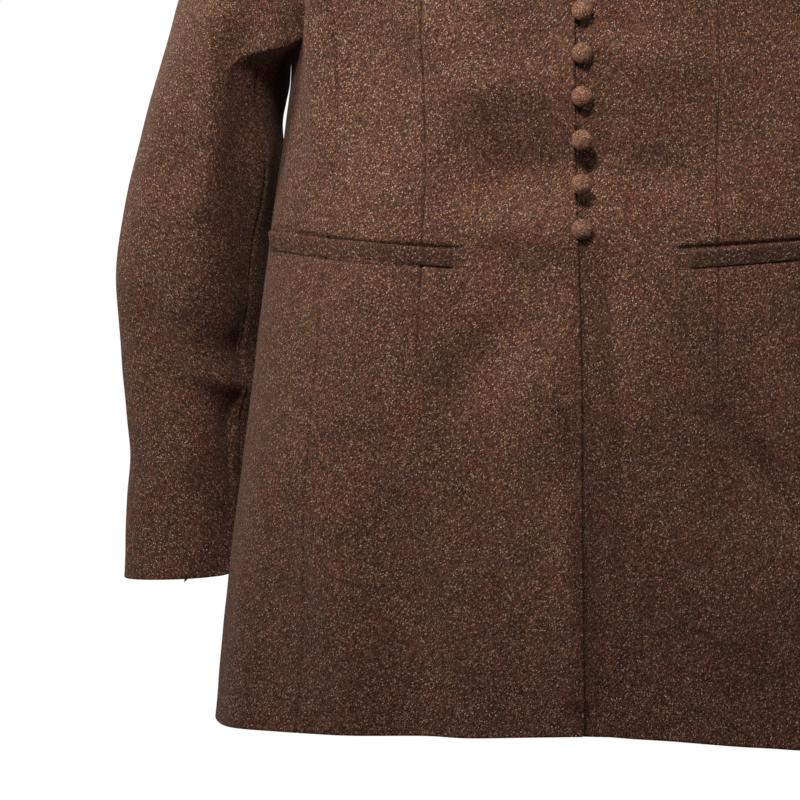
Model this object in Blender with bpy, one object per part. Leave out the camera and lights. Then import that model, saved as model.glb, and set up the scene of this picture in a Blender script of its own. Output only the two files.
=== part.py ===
"""A collarless tweed jacket in its worn form: hollow, open at the neck, hem, cuffs and armholes.

Lengths are in millimetres and angles in degrees until a mesh is made, which is in metres.
X is outward on each side (the wearer's right side is -X), Y runs to the back and Z up.
The origin is in the neck opening, where the jacket is held up.
"""

import math

import bmesh
import bpy
import numpy as np
from mathutils import Matrix

MM = 0.001
WALL = 2.2  # the cloth's thickness
GAP = 0.3  # between pieces at a seam
SQUARE = 0.02  # how much squarer than an ellipse a ring round the body is
CHEST = -205.0  # the height where the rings end and the yoke starts
HEM = -726.0
SCOOP = 23.0  # how far the armhole dips below the chest line at the side

RINGS = (  # height, half the width, depth to the front, depth to the back
    (-742, 202.5, 131.5, 119.5),
    (-726, 201.0, 131.0, 119.0),
    (-650, 193.5, 127.0, 118.0),
    (-605, 188.0, 124.0, 117.0),
    (-560, 182.0, 121.0, 116.0),
    (-494, 174.0, 115.0, 111.0),
    (-438, 167.0, 108.0, 103.0),
    (-400, 161.5, 102.0, 95.0),
    (-370, 158.0, 99.0, 90.0),
    (-335, 159.5, 102.0, 90.0),
    (-290, 166.0, 111.0, 95.0),
    (-245, 174.0, 119.0, 101.0),
    (-205, 178.0, 122.0, 105.0),
)
SEAMS = (  # height, then distance of the dart, the front seam and the back seam from the middle
    (-742, 90.0, 154.0, 151.0),
    (-726, 89.5, 153.3, 150.0),
    (-662, 87.5, 149.6, 146.0),
    (-578, 84.5, 143.2, 139.0),
    (-510, 82.0, 136.3, 132.0),
    (-443, 80.5, 130.5, 124.0),
    (-387, 80.0, 127.8, 119.0),
    (-332, 80.0, 129.8, 120.0),
    (-290, 80.0, 136.5, 128.0),
    (-245, 79.5, 149.0, 142.0),
    (-205, 79.0, 158.5, 153.0),
)
HEM_DROP = (  # angle from the centre front, drop of the wearer's right hem and of the left hem
    (-20, 0.0, 0.0),
    (0, 0.0, 0.0),
    (15, 1.2, 3.2),
    (30, 1.6, 8.2),
    (50, 2.6, 12.6),
    (75, 3.2, 9.0),
    (110, 1.0, 3.0),
    (140, 0.0, 0.0),
    (180, 0.0, 0.0),
)
FOLDS = (  # side, first and last angle, first and last height, half-width, rise
    (-1, 30, 24, -585, -735, 20, -5.0),
    (-1, 21, 16, -570, -735, 20, 3.5),
    (-1, 62, 66, -540, -735, 26, 4.0),
    (1, 24, 30, -560, -735, 22, -4.0),
    (1, 60, 58, -540, -735, 26, 4.5),
    (1, 108, 112, -560, -735, 30, -4.0),
    (-1, 110, 106, -560, -735, 30, -4.0),
    (-1, 150, 146, -540, -735, 34, 3.5),
    (1, 150, 152, -540, -735, 34, 3.5),
)
ROWS = (-690, -650, -608, -566, -524, -484, -446, -408, -370, -334, -294, -250, -205)
YOKE_ROWS = 9

NECK_WIDTH, NECK_TOP, NECK_BACK_Y = 72.0, 30.0, 6.0
NECK = {False: (-72.0, -61.0, 0.42), True: (62.0, 18.0, 0.375)}  # y and z in the middle, share of a column row
SHOULDER_TIP = (192.0, 8.0, -15.0)

EDGE = ((-742, 6.3), (-726, 6.2), (-626, 5.0), (-500, 4.0), (-434, 1.8), (-205, 1.0))  # front edge past the centre
UNDERLAP = 25.0
LAP = ((-742, 4.6), (-726, 4.5), (-600, 3.9), (-500, 2.9), (-440, 2.65), (-205, 2.65))  # how deep the left front lies
KICK = ((-742, 2.6), (-726, 2.5), (-600, 1.6), (-500, 0.6), (-430, 0.0), (-205, 0.0))  # how far the edge stands off
FRONT_SHARES = (0.33, 0.42, 0.488, 0.5, 0.512, 0.6, 0.7, 0.8, 0.9, 1.0)
DART_TOP, DART_END, DART_DEPTH = -232.0, -545.0, 0.7
BACK_COLUMNS, SIDE_COLUMNS = 8, 7

BUTTON_PITCHES, BUTTON_LOW = (24.45,) * 5 + (23.78,) * 11, -452.0  # a little closer above the bust
BUTTON_X, BALL, SHANK, STAND, BALL_SIDES = 5.3, 5.7, 1.5, 7.7, 12
LOOP_BEND, LOOP_THICK, LOOP_STAND = 3.2, 1.0, 1.35

WELT_THICK = 1.5
WELT = (  # angle from the centre front, height of the upper and of the lower edge
    (20.6, -463.0, -472.2),
    (45.0, -458.6, -468.4),
    (66.0, -455.8, -465.9),
    (86.0, -454.6, -465.0),
)

SLEEVE = (  # height, middle outward and back, half-width, half-depth, turn of the front inward
    (-656, 214.2, 66.0, 42.5, 36.5, 0),
    (-611, 212.6, 65.0, 42.4, 38.0, 0),
    (-588, 211.0, 62.0, 42.1, 39.0, 0),
    (-565, 212.3, 60.0, 42.4, 40.0, 0),
    (-535, 214.0, 56.0, 43.1, 42.0, 0),
    (-508, 215.0, 51.0, 43.7, 45.0, 0),
    (-485, 215.7, 46.0, 44.0, 47.0, 0),
    (-462, 213.4, 41.0, 44.2, 49.0, 0),
    (-439, 209.0, 36.0, 44.2, 50.5, 0),
    (-416, 204.8, 31.0, 42.8, 52.0, -2),
    (-396, 202.6, 24.0, 39.2, 53.5, -6),
    (-376, 197.9, 13.0, 36.5, 55.5, -12),
    (-360, 194.2, 2.0, 35.5, 57.5, -6),
    (-345, 182.6, -11.0, 38.0, 61.0, 29),
    (-326, 172.6, -19.0, 40.0, 64.0, 34),
    (-295, 166.4, -18.0, 40.0, 64.0, 30),
    (-262, 162.0, -10.0, 40.5, 63.0, 22),
)
SLEEVE_OUTSIDE = (  # the same at the outside and the front, where the cloth falls smoothly past the armpit's fold
    (-416, 204.8, 31.0, 42.8, 52.0, -2),
    (-396, 202.6, 24.0, 39.2, 53.5, -5),
    (-376, 198.5, 18.0, 37.5, 55.5, -3),
    (-360, 194.2, 13.0, 37.0, 57.5, 0),
    (-345, 188.5, 8.0, 38.0, 60.0, 4),
    (-326, 180.9, 2.0, 40.0, 62.0, 8),
    (-295, 168.2, -9.0, 40.4, 63.4, 17),
    (-275, 163.7, -13.4, 40.3, 63.5, 25),
    (-262, 162.0, -10.0, 40.5, 63.0, 22),
)
CUFF_RISE = 2.2  # how much higher the cuff's inner side is than its middle
CLEAR = 4.0  # between the sleeve and the body
CUFF_DROP = 8.0  # how far the vent's corner hangs below the cuff
HEAD_ROWS, SLEEVE_TOP = 7, -262.0
TOP_SLEEVE = (20, 35)  # the armhole's points where the top sleeve starts and ends, counted past the shoulder


def smooth(table, x):
    """A soft curve through the rows of a table, at x in its first column."""
    rows = np.array(sorted(table), float)
    x = np.asarray(x, float)
    at, values = rows[:, 0], rows[:, 1:]
    slopes = np.gradient(values, at, axis=0)
    k = np.clip(np.searchsorted(at, x, side="right") - 1, 0, len(at) - 2)
    step = (at[k + 1] - at[k])[..., None]
    t = np.clip((x - at[k])[..., None] / step, 0, 1)
    value = (2 * t**3 - 3 * t**2 + 1) * values[k] + (3 * t**2 - 2 * t**3) * values[k + 1]
    value += step * ((t**3 - 2 * t**2 + t) * slopes[k] + (t**3 - t**2) * slopes[k + 1])
    return np.moveaxis(value, -1, 0)


def fold_rise(side, angle, z):
    """How far the folds lift a ring at an angle and a height."""
    rise = np.zeros(np.broadcast(angle, z).shape)
    for fold_side, start, end, high, low, width, depth in FOLDS:
        if fold_side == side:
            along = np.clip((high - z) / (high - low), 0, 1.2)
            off = (angle - start - (end - start) * along) * math.radians(1) * 150
            rise += depth * np.clip(along, 0, 1) ** 0.7 * np.exp(-((off / width) ** 2))
    return rise


def ring(side, angle, z):
    """A point of the body's outer face. The angle is 0 at the centre front and 180 at the back."""
    half, front, back = smooth(RINGS, z)
    turn, rise = np.radians(angle), fold_rise(side, angle, z)
    deep = np.where(np.cos(turn) > 0, front, back) + rise
    x = (half + rise) * (np.sin(turn) + SQUARE * np.sin(3 * turn)) / (1 - SQUARE)
    y = -deep * (np.cos(turn) - SQUARE * np.cos(3 * turn)) / (1 - SQUARE)
    return np.stack(np.broadcast_arrays(x, y, z), -1)


def angle_of(x, z):
    """The angle from the middle where a ring is x away from it."""
    angles = np.linspace(-80, 80, 321)
    turn = np.radians(angles)
    reach = (np.sin(turn) + SQUARE * np.sin(3 * turn)) / (1 - SQUARE)
    return np.interp(x / smooth(RINGS, z)[0], reach, angles)


def panel_angles(back, z):
    """The angle of a panel's side seam from its middle, and how the dart bends the columns."""
    dart, front_seam, back_seam = smooth(SEAMS, z)
    if back:
        return angle_of(back_seam, z), np.zeros(np.shape(z))
    full = angle_of(front_seam, z)
    return full, 4 * (angle_of(dart, z) / full - 0.5)


def share_of(x, z):
    """The front's column share where it is x from the middle."""
    full, bend = panel_angles(False, z)
    ratio = angle_of(x, z) / full
    return 2 * ratio / (1 + bend + np.sqrt((1 + bend) ** 2 - 4 * bend * ratio))


def top_line(back, share):
    """The neckline, then the shoulder seam, with the direction in which the cloth reaches it."""
    mid_y, mid_z, neck = NECK[back]
    turn = np.radians(90 * np.clip(share / neck, -1, 1))
    along = np.clip((share - neck) / (1 - neck), 0, 1)
    tip_x, tip_y, tip_z = SHOULDER_TIP
    x = NECK_WIDTH * np.sin(turn) + (tip_x - NECK_WIDTH) * along
    y = NECK_BACK_Y + (mid_y - NECK_BACK_Y) * np.cos(turn) + (tip_y - NECK_BACK_Y) * along
    z = NECK_TOP + (mid_z - NECK_TOP) * np.cos(turn) + (tip_z - NECK_TOP) * along
    z = z - 3 * np.sin(np.pi * along)
    level = np.radians(60 * np.cos(turn))
    sense = -1 if back else 1
    reach = np.stack([0 * x, sense * np.cos(level), np.sin(level)], -1)
    return np.stack([x, y, z], -1), reach


def panel(side, back, share, v):
    """A point of a front or back panel: v is 0 to 1 up the rings and 1 to 2 up the yoke."""
    full, bend = panel_angles(back, HEM)
    edge = full * (share + bend * share * (1 - share))
    low = hem_height(side, 180 - edge if back else edge)
    z = low + (CHEST - low) * np.clip(v, 0, 1)
    full, bend = panel_angles(back, z)
    angle = full * (share + bend * share * (1 - share))
    place = ring(side, 180 - angle if back else angle, z)
    if np.max(v) <= 1:
        return place
    full, bend = panel_angles(back, np.full(np.shape(share), CHEST))
    angle = full * (share + bend * share * (1 - share))
    angle = 180 - angle if back else angle
    start = ring(side, angle, np.full(np.shape(share), CHEST))
    rise = (start - ring(side, angle, np.full(np.shape(share), CHEST - 2))) / 2
    end, reach = top_line(back, share)
    first = start + rise * (52 if back else 48)
    last = end - reach * (40 + 12 * share)[..., None]
    pull = np.clip(share, 0, 1) ** 4
    first[..., 0] -= 12 * pull
    last[..., 0] -= 20 * pull
    last[..., 2] -= 22 * pull
    t = np.clip(v - 1, 0, 1)[..., None]
    curve = (1 - t) ** 3 * start + 3 * (1 - t) ** 2 * t * first + 3 * (1 - t) * t**2 * last + t**3 * end
    return np.where((v > 1)[..., None], curve, place)


def side_panel(side, share, v):
    """A point of the side panel, between the front seam and the back seam."""
    first = panel_angles(False, HEM)[0]
    last = 180 - panel_angles(True, HEM)[0]
    low = hem_height(side, first + (last - first) * share)
    high = CHEST - SCOOP * np.sin(np.pi * np.clip(share, 0, 1)) ** 1.2
    z = low + (high - low) * v
    first = panel_angles(False, z)[0]
    last = 180 - panel_angles(True, z)[0]
    return ring(side, first + (last - first) * share, z)


def hem_height(side, angle):
    right, left = smooth(HEM_DROP, angle)
    return HEM - (right if side < 0 else left)


def outward(surface, share, v, seam=False):
    """The outward direction of a surface at its points. Both sides of a shoulder seam share one."""
    e = 1e-4
    up_v, low_v = np.where(v >= 2, v, v + e), np.where(v >= 2, v - e, v - e * (v > 1))
    up_v = np.where((v <= 1) & (v + e > 1), v, up_v)
    low_v = np.where((v <= 1) & (v > 0.5), v - e, low_v)
    across = surface(share + e, v) - surface(share - e, v)
    up = surface(share, up_v) - surface(share, low_v)
    turn = np.sign(up[..., 1:2])
    up = np.where((v >= 2)[..., None], turn * np.array([0, 1.0, 0]), up) if seam else up
    normal = np.cross(across, up)
    return normal / np.linalg.norm(normal, axis=-1, keepdims=True)


def rows_of(low=HEM):
    """The row heights as shares of the way from the hem to the chest line."""
    heights = np.array((HEM,) + ROWS, float)
    return (heights - HEM) / (CHEST - HEM)


def grid(surface, shares, rows):
    """The points and outward directions over a panel. shares has a row for each of rows."""
    v = np.repeat(rows[:, None], shares.shape[1], 1)
    return surface(shares, v), outward(surface, shares, v, seam=True)


def near_share(x, z, rows):
    """The column share that keeps a line at x from the middle, up to the neckline."""
    top = NECK[False][2] * np.degrees(np.arcsin(x / NECK_WIDTH)) / 90
    return share_of(x, z) + (top - share_of(x, z)) * np.clip(rows - 1, 0, 1)


def front_grid(side):
    """The left front lies under the right one, so it starts past the centre and deeper."""
    rows = np.concatenate([rows_of(), 1 + np.arange(1, YOKE_ROWS + 1) / YOKE_ROWS])
    z = HEM + (CHEST - HEM) * np.clip(rows, 0, 1)
    edge = smooth(EDGE, z)[0]
    if side < 0:
        near = [-edge, 0 * z + 12, 0 * z + 25, 0 * z + 38]
    else:
        near = [0 * z + x for x in (-UNDERLAP, -12, 0.5, BUTTON_X, 10, 21, 36)]
    shares = [near_share(x, z, rows) for x in near] + [0 * z + share for share in FRONT_SHARES]
    shares = np.stack(shares, 1)
    points, normals = grid(lambda s, v: panel(side, False, s, v), shares, rows)
    heights = points[..., 2]
    off = np.clip((38 - points[..., 0]) / 30, 0, 1)
    off = off * off * (3 - 2 * off)
    if side < 0:
        lift = smooth(KICK, np.clip(heights, -742, CHEST))[0] * off
    else:
        lift = -smooth(LAP, np.clip(heights, -742, CHEST))[0] * off
    dart = np.abs(shares - 0.5) < 0.001
    depth = DART_DEPTH * np.clip((heights - DART_END) / 30, 0, 1) * np.clip((DART_TOP - heights) / 30, 0, 1)
    return points + normals * (lift - dart * depth)[..., None], normals


def mirrored(points, side):
    return points * np.array([side, 1, 1])


def shell(name, points, normals, side, material):
    """A wall of cloth inward from a grid of points, closed all round, with half a gap at its edges."""
    points, inner = points.copy(), points - normals * WALL
    for face in (points, inner):
        for line, beside in ((face[0], face[1]), (face[-1], face[-2])):
            line += (beside - line) / np.linalg.norm(beside - line, axis=-1, keepdims=True) * GAP / 2
        for line, beside in ((face[:, 0], face[:, 1]), (face[:, -1], face[:, -2])):
            line += (beside - line) / np.linalg.norm(beside - line, axis=-1, keepdims=True) * GAP / 2
    rows, columns = points.shape[:2]
    vertices = np.concatenate([points.reshape(-1, 3), inner.reshape(-1, 3)])
    inside = rows * columns
    faces = []
    for j in range(rows - 1):
        for i in range(columns - 1):
            a, b, c, d = j * columns + i, j * columns + i + 1, (j + 1) * columns + i + 1, (j + 1) * columns + i
            faces += [(a, b, c, d), (inside + d, inside + c, inside + b, inside + a)]
    border = [i for i in range(columns)]
    border += [j * columns + columns - 1 for j in range(1, rows)]
    border += [(rows - 1) * columns + i for i in range(columns - 2, -1, -1)]
    border += [j * columns for j in range(rows - 2, 0, -1)]
    for a, b in zip(border, border[1:] + border[:1]):
        faces.append((a, inside + a, inside + b, b))
    return add_object(name, mirrored(vertices, side), faces, material)


def add_object(name, vertices, faces, material):
    mesh = bpy.data.meshes.new(name)
    mesh.from_pydata([tuple(v) for v in vertices * MM], [], faces)
    work = bmesh.new()
    work.from_mesh(mesh)
    bmesh.ops.triangulate(work, faces=work.faces)
    bmesh.ops.recalc_face_normals(work, faces=work.faces)
    work.to_mesh(mesh)
    work.free()
    mesh.materials.append(material)
    thing = bpy.data.objects.new(name, mesh)
    bpy.context.collection.objects.link(thing)
    return thing


def material(name, color, roughness):
    made = bpy.data.materials.new(name)
    made.use_nodes = True
    shader = made.node_tree.nodes["Principled BSDF"]
    shader.inputs["Base Color"].default_value = (*color, 1)
    shader.inputs["Roughness"].default_value = roughness
    shader.inputs["Metallic"].default_value = 0
    return made


def sleeve_ring(angle, z, clear):
    """A point of the sleeve: angle 0 is outward, 90 the front, 180 beside the body."""
    places = []
    for table in (SLEEVE, SLEEVE_OUTSIDE):
        middle_x, middle_y, half, deep, turn = smooth(table, np.maximum(z, table[0][0]))
        turn = np.radians(turn)
        out, ahead = half * np.cos(np.radians(angle)), deep * np.sin(np.radians(angle))
        x = middle_x + out * np.cos(turn) - ahead * np.sin(turn)
        y = middle_y - out * np.sin(turn) - ahead * np.cos(turn)
        places.append(np.stack(np.broadcast_arrays(x, y, z), -1))
    inner, outer = places
    front, back = np.clip((angle - 85) / 45, 0, 1), np.clip((250 - angle) / 60, 0, 1)
    weight = front * front * (3 - 2 * front) * back * back * (3 - 2 * back)
    weight = np.where(z < SLEEVE_OUTSIDE[0][0], 1.0, weight)
    return clear_of_body(outer + (inner - outer) * weight[..., None], clear)


def clear_of_body(points, clear):
    """Points that would be in the body are moved out to its side."""
    x, y, z = points[..., 0], points[..., 1], points[..., 2]
    half, front, back = smooth(RINGS, np.clip(z, -742, CHEST))
    deep = np.where(y < 0, front, back)
    x_share, y_share = x / (half + clear), y / (deep + clear)
    share = np.hypot(x_share, y_share)
    turn = np.arctan2(x_share, -y_share)
    limit = np.sqrt(1 + SQUARE**2 - 2 * SQUARE * np.cos(4 * turn)) / (1 - SQUARE)
    wanted = 0.5 * (share + limit + np.sqrt((share - limit) ** 2 + 0.02**2))
    fade = np.clip((CHEST + 10 - z) / 30, 0, 1)
    factor = 1 + (wanted / share - 1) * fade
    return np.stack([x * factor, y * factor, z], -1)


def armhole(front, side_grid, back):
    """The armhole's points from the shoulder down the front, under the arm and up the back."""
    down = front[::-1, -1][: YOKE_ROWS + 1]
    under = side_grid[-1, 1:-1]
    up = back[-YOKE_ROWS - 1 :, -1]
    return np.concatenate([down, under, up[:-1]])


def sleeve_grid(loop):
    """Columns of the sleeve from the armhole's points down to the cuff."""
    count = len(loop)
    lengths = np.linalg.norm(np.roll(loop, -1, 0) - loop, axis=1)
    travelled = np.concatenate([[0], np.cumsum(lengths)[:-1]])
    lowest = int(np.argmin(loop[:, 2]))
    total, half = lengths.sum(), travelled[lowest]
    angles = np.where(
        travelled <= half, 180 * travelled / half, 180 + 180 * (travelled - half) / (total - half)
    )
    middle = np.array([168.0, -2.0, -118.0])
    around = loop - middle
    around[:, 0] = 0
    around /= np.linalg.norm(around, axis=1, keepdims=True)
    start = np.array([1.0, 0, 0]) + 0.3 * around
    start /= np.linalg.norm(start, axis=1, keepdims=True)
    height = (loop[:, 2] - loop[lowest, 2]) / (loop[0, 2] - loop[lowest, 2])
    reach = 4.5 + 16 * np.sin(np.pi * np.clip(height, 0, 1) * 0.62)
    top = np.full(count, SLEEVE_TOP)
    end = sleeve_ring(angles, top, CLEAR)
    fall = (end - sleeve_ring(angles, top - 3, CLEAR)) / 3
    first = loop + start * reach[:, None]
    last = end + fall * (0.42 * (loop[:, 2] - SLEEVE_TOP))[:, None]
    rows = []
    for t in np.linspace(0, 1, HEAD_ROWS + 1)[:-1]:
        bent = (1 - t) ** 3 * loop + 3 * (1 - t) ** 2 * t * first + 3 * (1 - t) * t**2 * last + t**3 * end
        rows.append(clear_of_body(bent, CLEAR * t**0.5) if t else loop + start * 0.5)
    heights = [-262, -282, -304, -326, -339, -349, -360, -377, -400, -424, -448, -470, -492, -514, -538]
    for z in heights + [-562, -586, -610, -634, -656]:
        rows.append(sleeve_ring(angles, np.full(count, float(z)), CLEAR))
        rows[-1][:, 2] += CUFF_RISE * (1 - np.cos(np.radians(angles))) * np.clip((-590 - z) / 66, 0, 1)
    return np.array(rows)[::-1], angles


def loop_normals(points):
    """Outward directions on a closed sleeve, whose columns run round it."""
    across = np.roll(points, -1, 1) - np.roll(points, 1, 1)
    up = np.gradient(points, axis=0)
    normal = np.cross(up, across)
    normal[-1, :, 0] = 0
    return normal / np.linalg.norm(normal, axis=-1, keepdims=True)


def tube(name, path, radius, sides, material, side_axis):
    """A round cord along a path."""
    path = np.array(path, float)
    rings = []
    tangents = np.gradient(path, axis=0)
    for place, tangent in zip(path, tangents):
        tangent = tangent / np.linalg.norm(tangent)
        u = np.cross(tangent, side_axis)
        u /= np.linalg.norm(u)
        w = np.cross(tangent, u)
        for k in range(sides):
            turn = 2 * math.pi * k / sides
            rings.append(place + radius * (math.cos(turn) * u + math.sin(turn) * w))
    faces = [tuple(range(sides))[::-1], tuple(len(rings) - sides + k for k in range(sides))]
    for j in range(len(path) - 1):
        for k in range(sides):
            a, b = j * sides + k, j * sides + (k + 1) % sides
            faces.append((a, b, b + sides, a + sides))
    return add_object(name, np.array(rings), faces, material)


def ball_mesh(material):
    """A covered ball on its shank, turned about +Z, with the cloth it stands on at the origin."""
    lowest = math.asin(SHANK / BALL)
    profile = [(0, GAP), (SHANK, GAP)]
    for k in range(7):
        turn = lowest + (math.pi * 0.93 - lowest) * k / 6
        profile.append((BALL * math.sin(turn), STAND - BALL * math.cos(turn)))
    profile.append((0, STAND + BALL))
    work = bmesh.new()
    points = [work.verts.new((radius * MM, 0, height * MM)) for radius, height in profile]
    edges = [work.edges.new(pair) for pair in zip(points, points[1:])]
    turned = {"cent": (0, 0, 0), "axis": (0, 0, 1), "angle": 2 * math.pi, "steps": BALL_SIDES}
    bmesh.ops.spin(work, geom=points + edges, **turned)
    bmesh.ops.remove_doubles(work, verts=work.verts, dist=0.001 * MM)
    bmesh.ops.triangulate(work, faces=work.faces)
    bmesh.ops.recalc_face_normals(work, faces=work.faces)
    mesh = bpy.data.meshes.new("ball button")
    work.to_mesh(mesh)
    work.free()
    mesh.shade_smooth()
    mesh.materials.append(material)
    return mesh


def ball_button(name, mesh, base, out):
    """One of the buttons, which share a mesh, standing on the cloth at base."""
    across = np.cross([0.0, 0, 1], out)
    across /= np.linalg.norm(across)
    thing = bpy.data.objects.new(name, mesh)
    thing.location = base * MM
    thing.rotation_euler = Matrix((across, np.cross(out, across), out)).transposed().to_euler()
    bpy.context.collection.objects.link(thing)
    return thing


def on_line(line, normals, travelled):
    """The place and outward direction at a distance along a line of points."""
    lengths = np.linalg.norm(np.diff(line, axis=0), axis=1)
    at = np.concatenate([[0], np.cumsum(lengths)])
    place = np.array([np.interp(travelled, at, line[:, k]) for k in range(3)])
    out = np.array([np.interp(travelled, at, normals[:, k]) for k in range(3)])
    return place, out / np.linalg.norm(out)


def at_height(line, normals, z):
    """The place and outward direction where a line of rising points has a height."""
    place = np.array([np.interp(z, line[:, 2], line[:, k]) for k in range(3)])
    out = np.array([np.interp(z, line[:, 2], normals[:, k]) for k in range(3)])
    return place, out / np.linalg.norm(out)


def build_buttons(points, normals, ball_cloth, loop_cloth):
    """The buttons stand on the left front's button line, each with its loop from the right edge."""
    line, outs = points[:, 3], normals[:, 3]
    ball = ball_mesh(ball_cloth)
    low, _ = at_height(line[:14], outs[:14], BUTTON_LOW)
    row = int(np.searchsorted(line[:14, 2], BUTTON_LOW))
    below = np.linalg.norm(np.diff(line[:row], axis=0), axis=1).sum() + np.linalg.norm(low - line[row - 1])
    for k, travelled in enumerate(np.cumsum((below,) + BUTTON_PITCHES)):
        base, out = on_line(line, outs, travelled)
        ball_button(f"button_{k + 1:02d}", ball, base, out)
        up = np.cross(np.cross(out, [0, 0, 1.0]), out)
        up /= np.linalg.norm(up)
        across = np.cross(up, out)
        across *= np.sign(across[0])
        edge = smooth(EDGE, np.clip(base[2], -742, CHEST))[0] + GAP + 0.25
        path = []
        for turn in (None, -90, -60, -30, 0, 30, 60, 90, None):
            if turn is None:
                path.append((edge - base[0], LOOP_BEND * (1 if path else -1)))
            else:
                turn = math.radians(turn)
                path.append((LOOP_BEND * math.cos(turn), LOOP_BEND * math.sin(turn)))
        path = [base + out * LOOP_STAND + across * a + up * b for a, b in path]
        tube(f"loop_{k + 1:02d}", path, LOOP_THICK, 6, loop_cloth, out)


def build_welt(name, side, front, side_piece, material):
    """A folded strip on the front and side panels, made from their points and moved out."""
    rows = []
    for points, normals in (front, side_piece):
        for i in range(points.shape[1]):
            line, outs = points[:14, i], normals[:14, i]
            middle, _ = at_height(line, outs, -463.0)
            angle = math.degrees(math.atan2(middle[0] / 170.0, -middle[1] / 111.0))
            if WELT[0][0] + 1.5 < angle < WELT[-1][0] - 1.5:
                rows.append((angle, line, outs))
    rows = sorted(rows, key=lambda row: row[0])
    kept = [rows[0]]
    for row in rows[1:]:
        if row[0] - kept[-1][0] > 1.2:
            kept.append(row)
    low, high = [], []
    for angle, line, outs in kept:
        upper, lower = smooth(WELT, angle)
        high.append(at_height(line, outs, upper))
        low.append(at_height(line, outs, lower))
    points = np.array([[p for p, _ in low], [p for p, _ in high]])
    normals = np.array([[n for _, n in low], [n for _, n in high]])
    vertices = np.concatenate([(points + normals * (GAP + 0.1 + WELT_THICK)).reshape(-1, 3)])
    inner = (points + normals * (GAP + 0.1)).reshape(-1, 3)
    count = len(kept)
    vertices = np.concatenate([vertices, inner])
    faces, inside = [], 2 * count
    for i in range(count - 1):
        a, b, c, d = i, i + 1, count + i + 1, count + i
        faces += [(a, b, c, d), (inside + d, inside + c, inside + b, inside + a)]
        faces += [(a, inside + a, inside + b, b), (d, c, inside + c, inside + d)]
    faces.append((0, count, inside + count, inside))
    last = count - 1
    faces.append((last, inside + last, inside + count + last, count + last))
    return add_object(name, mirrored(vertices, side), faces, material)


def build():
    cloth = {
        "front": material("Tweed of the fronts", (0.080, 0.043, 0.029), 0.92),
        "side": material("Tweed of the side panels", (0.075, 0.040, 0.027), 0.92),
        "back": material("Tweed of the backs", (0.077, 0.041, 0.028), 0.92),
        "sleeve": material("Tweed of the sleeves", (0.079, 0.042, 0.028), 0.92),
        "welt": material("Tweed of the pocket welts", (0.084, 0.045, 0.030), 0.92),
        "ball": material("Tweed of the covered buttons", (0.086, 0.046, 0.031), 0.9),
        "loop": material("Tweed rouleau of the loops", (0.060, 0.032, 0.022), 0.92),
    }
    rows = rows_of()
    for side, word in ((-1, "right"), (1, "left")):
        front = front_grid(side)
        shares = np.repeat(np.linspace(0, 1, BACK_COLUMNS + 1)[None], len(rows) + YOKE_ROWS, 0)
        tall = np.concatenate([rows, 1 + np.arange(1, YOKE_ROWS + 1) / YOKE_ROWS])
        back = grid(lambda s, v, side=side: panel(side, True, s, v), shares, tall)
        shares = np.repeat(np.linspace(0, 1, SIDE_COLUMNS + 1)[None], len(rows), 0)
        side_piece = grid(lambda s, v, side=side: side_panel(side, s, v), shares, rows)
        back = (back[0], -back[1])
        shell(f"front_{word}", *front, side, cloth["front"])
        shell(f"side_{word}", *side_piece, side, cloth["side"])
        shell(f"back_{word}", *back, side, cloth["back"])
        build_welt(f"welt_{word}", side, front, side_piece, cloth["welt"])
        if side > 0:
            build_buttons(*front, cloth["ball"], cloth["loop"])
        points, _ = sleeve_grid(armhole(front[0], side_piece[0], back[0]))
        normals = loop_normals(points)
        count = points.shape[1]
        first, last = TOP_SLEEVE
        top = [k % count for k in range(first, last + 1)]
        under = [k % count for k in range(last, first + count + 1)]
        shell(f"sleeve_top_{word}", points[:, top], normals[:, top], side, cloth["sleeve"])
        lower = points.copy()
        lower[0, first % count, 2] -= CUFF_DROP
        shell(f"sleeve_under_{word}", lower[:, under], normals[:, under], side, cloth["sleeve"])


for thing in list(bpy.data.objects):
    bpy.data.objects.remove(thing, do_unlink=True)
build()
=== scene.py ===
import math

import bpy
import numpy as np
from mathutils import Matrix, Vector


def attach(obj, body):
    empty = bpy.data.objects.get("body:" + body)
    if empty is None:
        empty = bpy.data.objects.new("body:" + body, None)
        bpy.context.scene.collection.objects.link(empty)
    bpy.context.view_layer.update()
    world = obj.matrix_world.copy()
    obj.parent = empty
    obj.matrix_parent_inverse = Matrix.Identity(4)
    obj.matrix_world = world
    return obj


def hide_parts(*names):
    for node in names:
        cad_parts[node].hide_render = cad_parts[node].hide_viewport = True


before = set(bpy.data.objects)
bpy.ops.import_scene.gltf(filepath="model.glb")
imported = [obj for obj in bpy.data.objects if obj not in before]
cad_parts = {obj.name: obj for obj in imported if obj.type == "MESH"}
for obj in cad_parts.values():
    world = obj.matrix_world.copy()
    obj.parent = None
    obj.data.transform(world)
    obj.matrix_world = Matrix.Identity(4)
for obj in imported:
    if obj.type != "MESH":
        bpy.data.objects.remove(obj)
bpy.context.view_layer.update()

# A collarless jacket of speckled brown wool tweed, in its worn, hollow form.
# Lengths are in millimetres and angles in degrees until a mesh is made, which is in metres.
# X is outward on each side of the body, Y runs to the back and Z up. The wearer's right is -X.

MM = 0.001
WALL = 2.2  # the cloth's thickness
GAP = 0.3  # between pieces at a seam
SQUARE = 0.02  # how much squarer than an ellipse a ring round the body is
CHEST = -205.0  # the height where the rings end and the yoke starts
HEM = -726.0
SCOOP = 23.0  # how far the armhole dips below the chest line at the side

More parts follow.
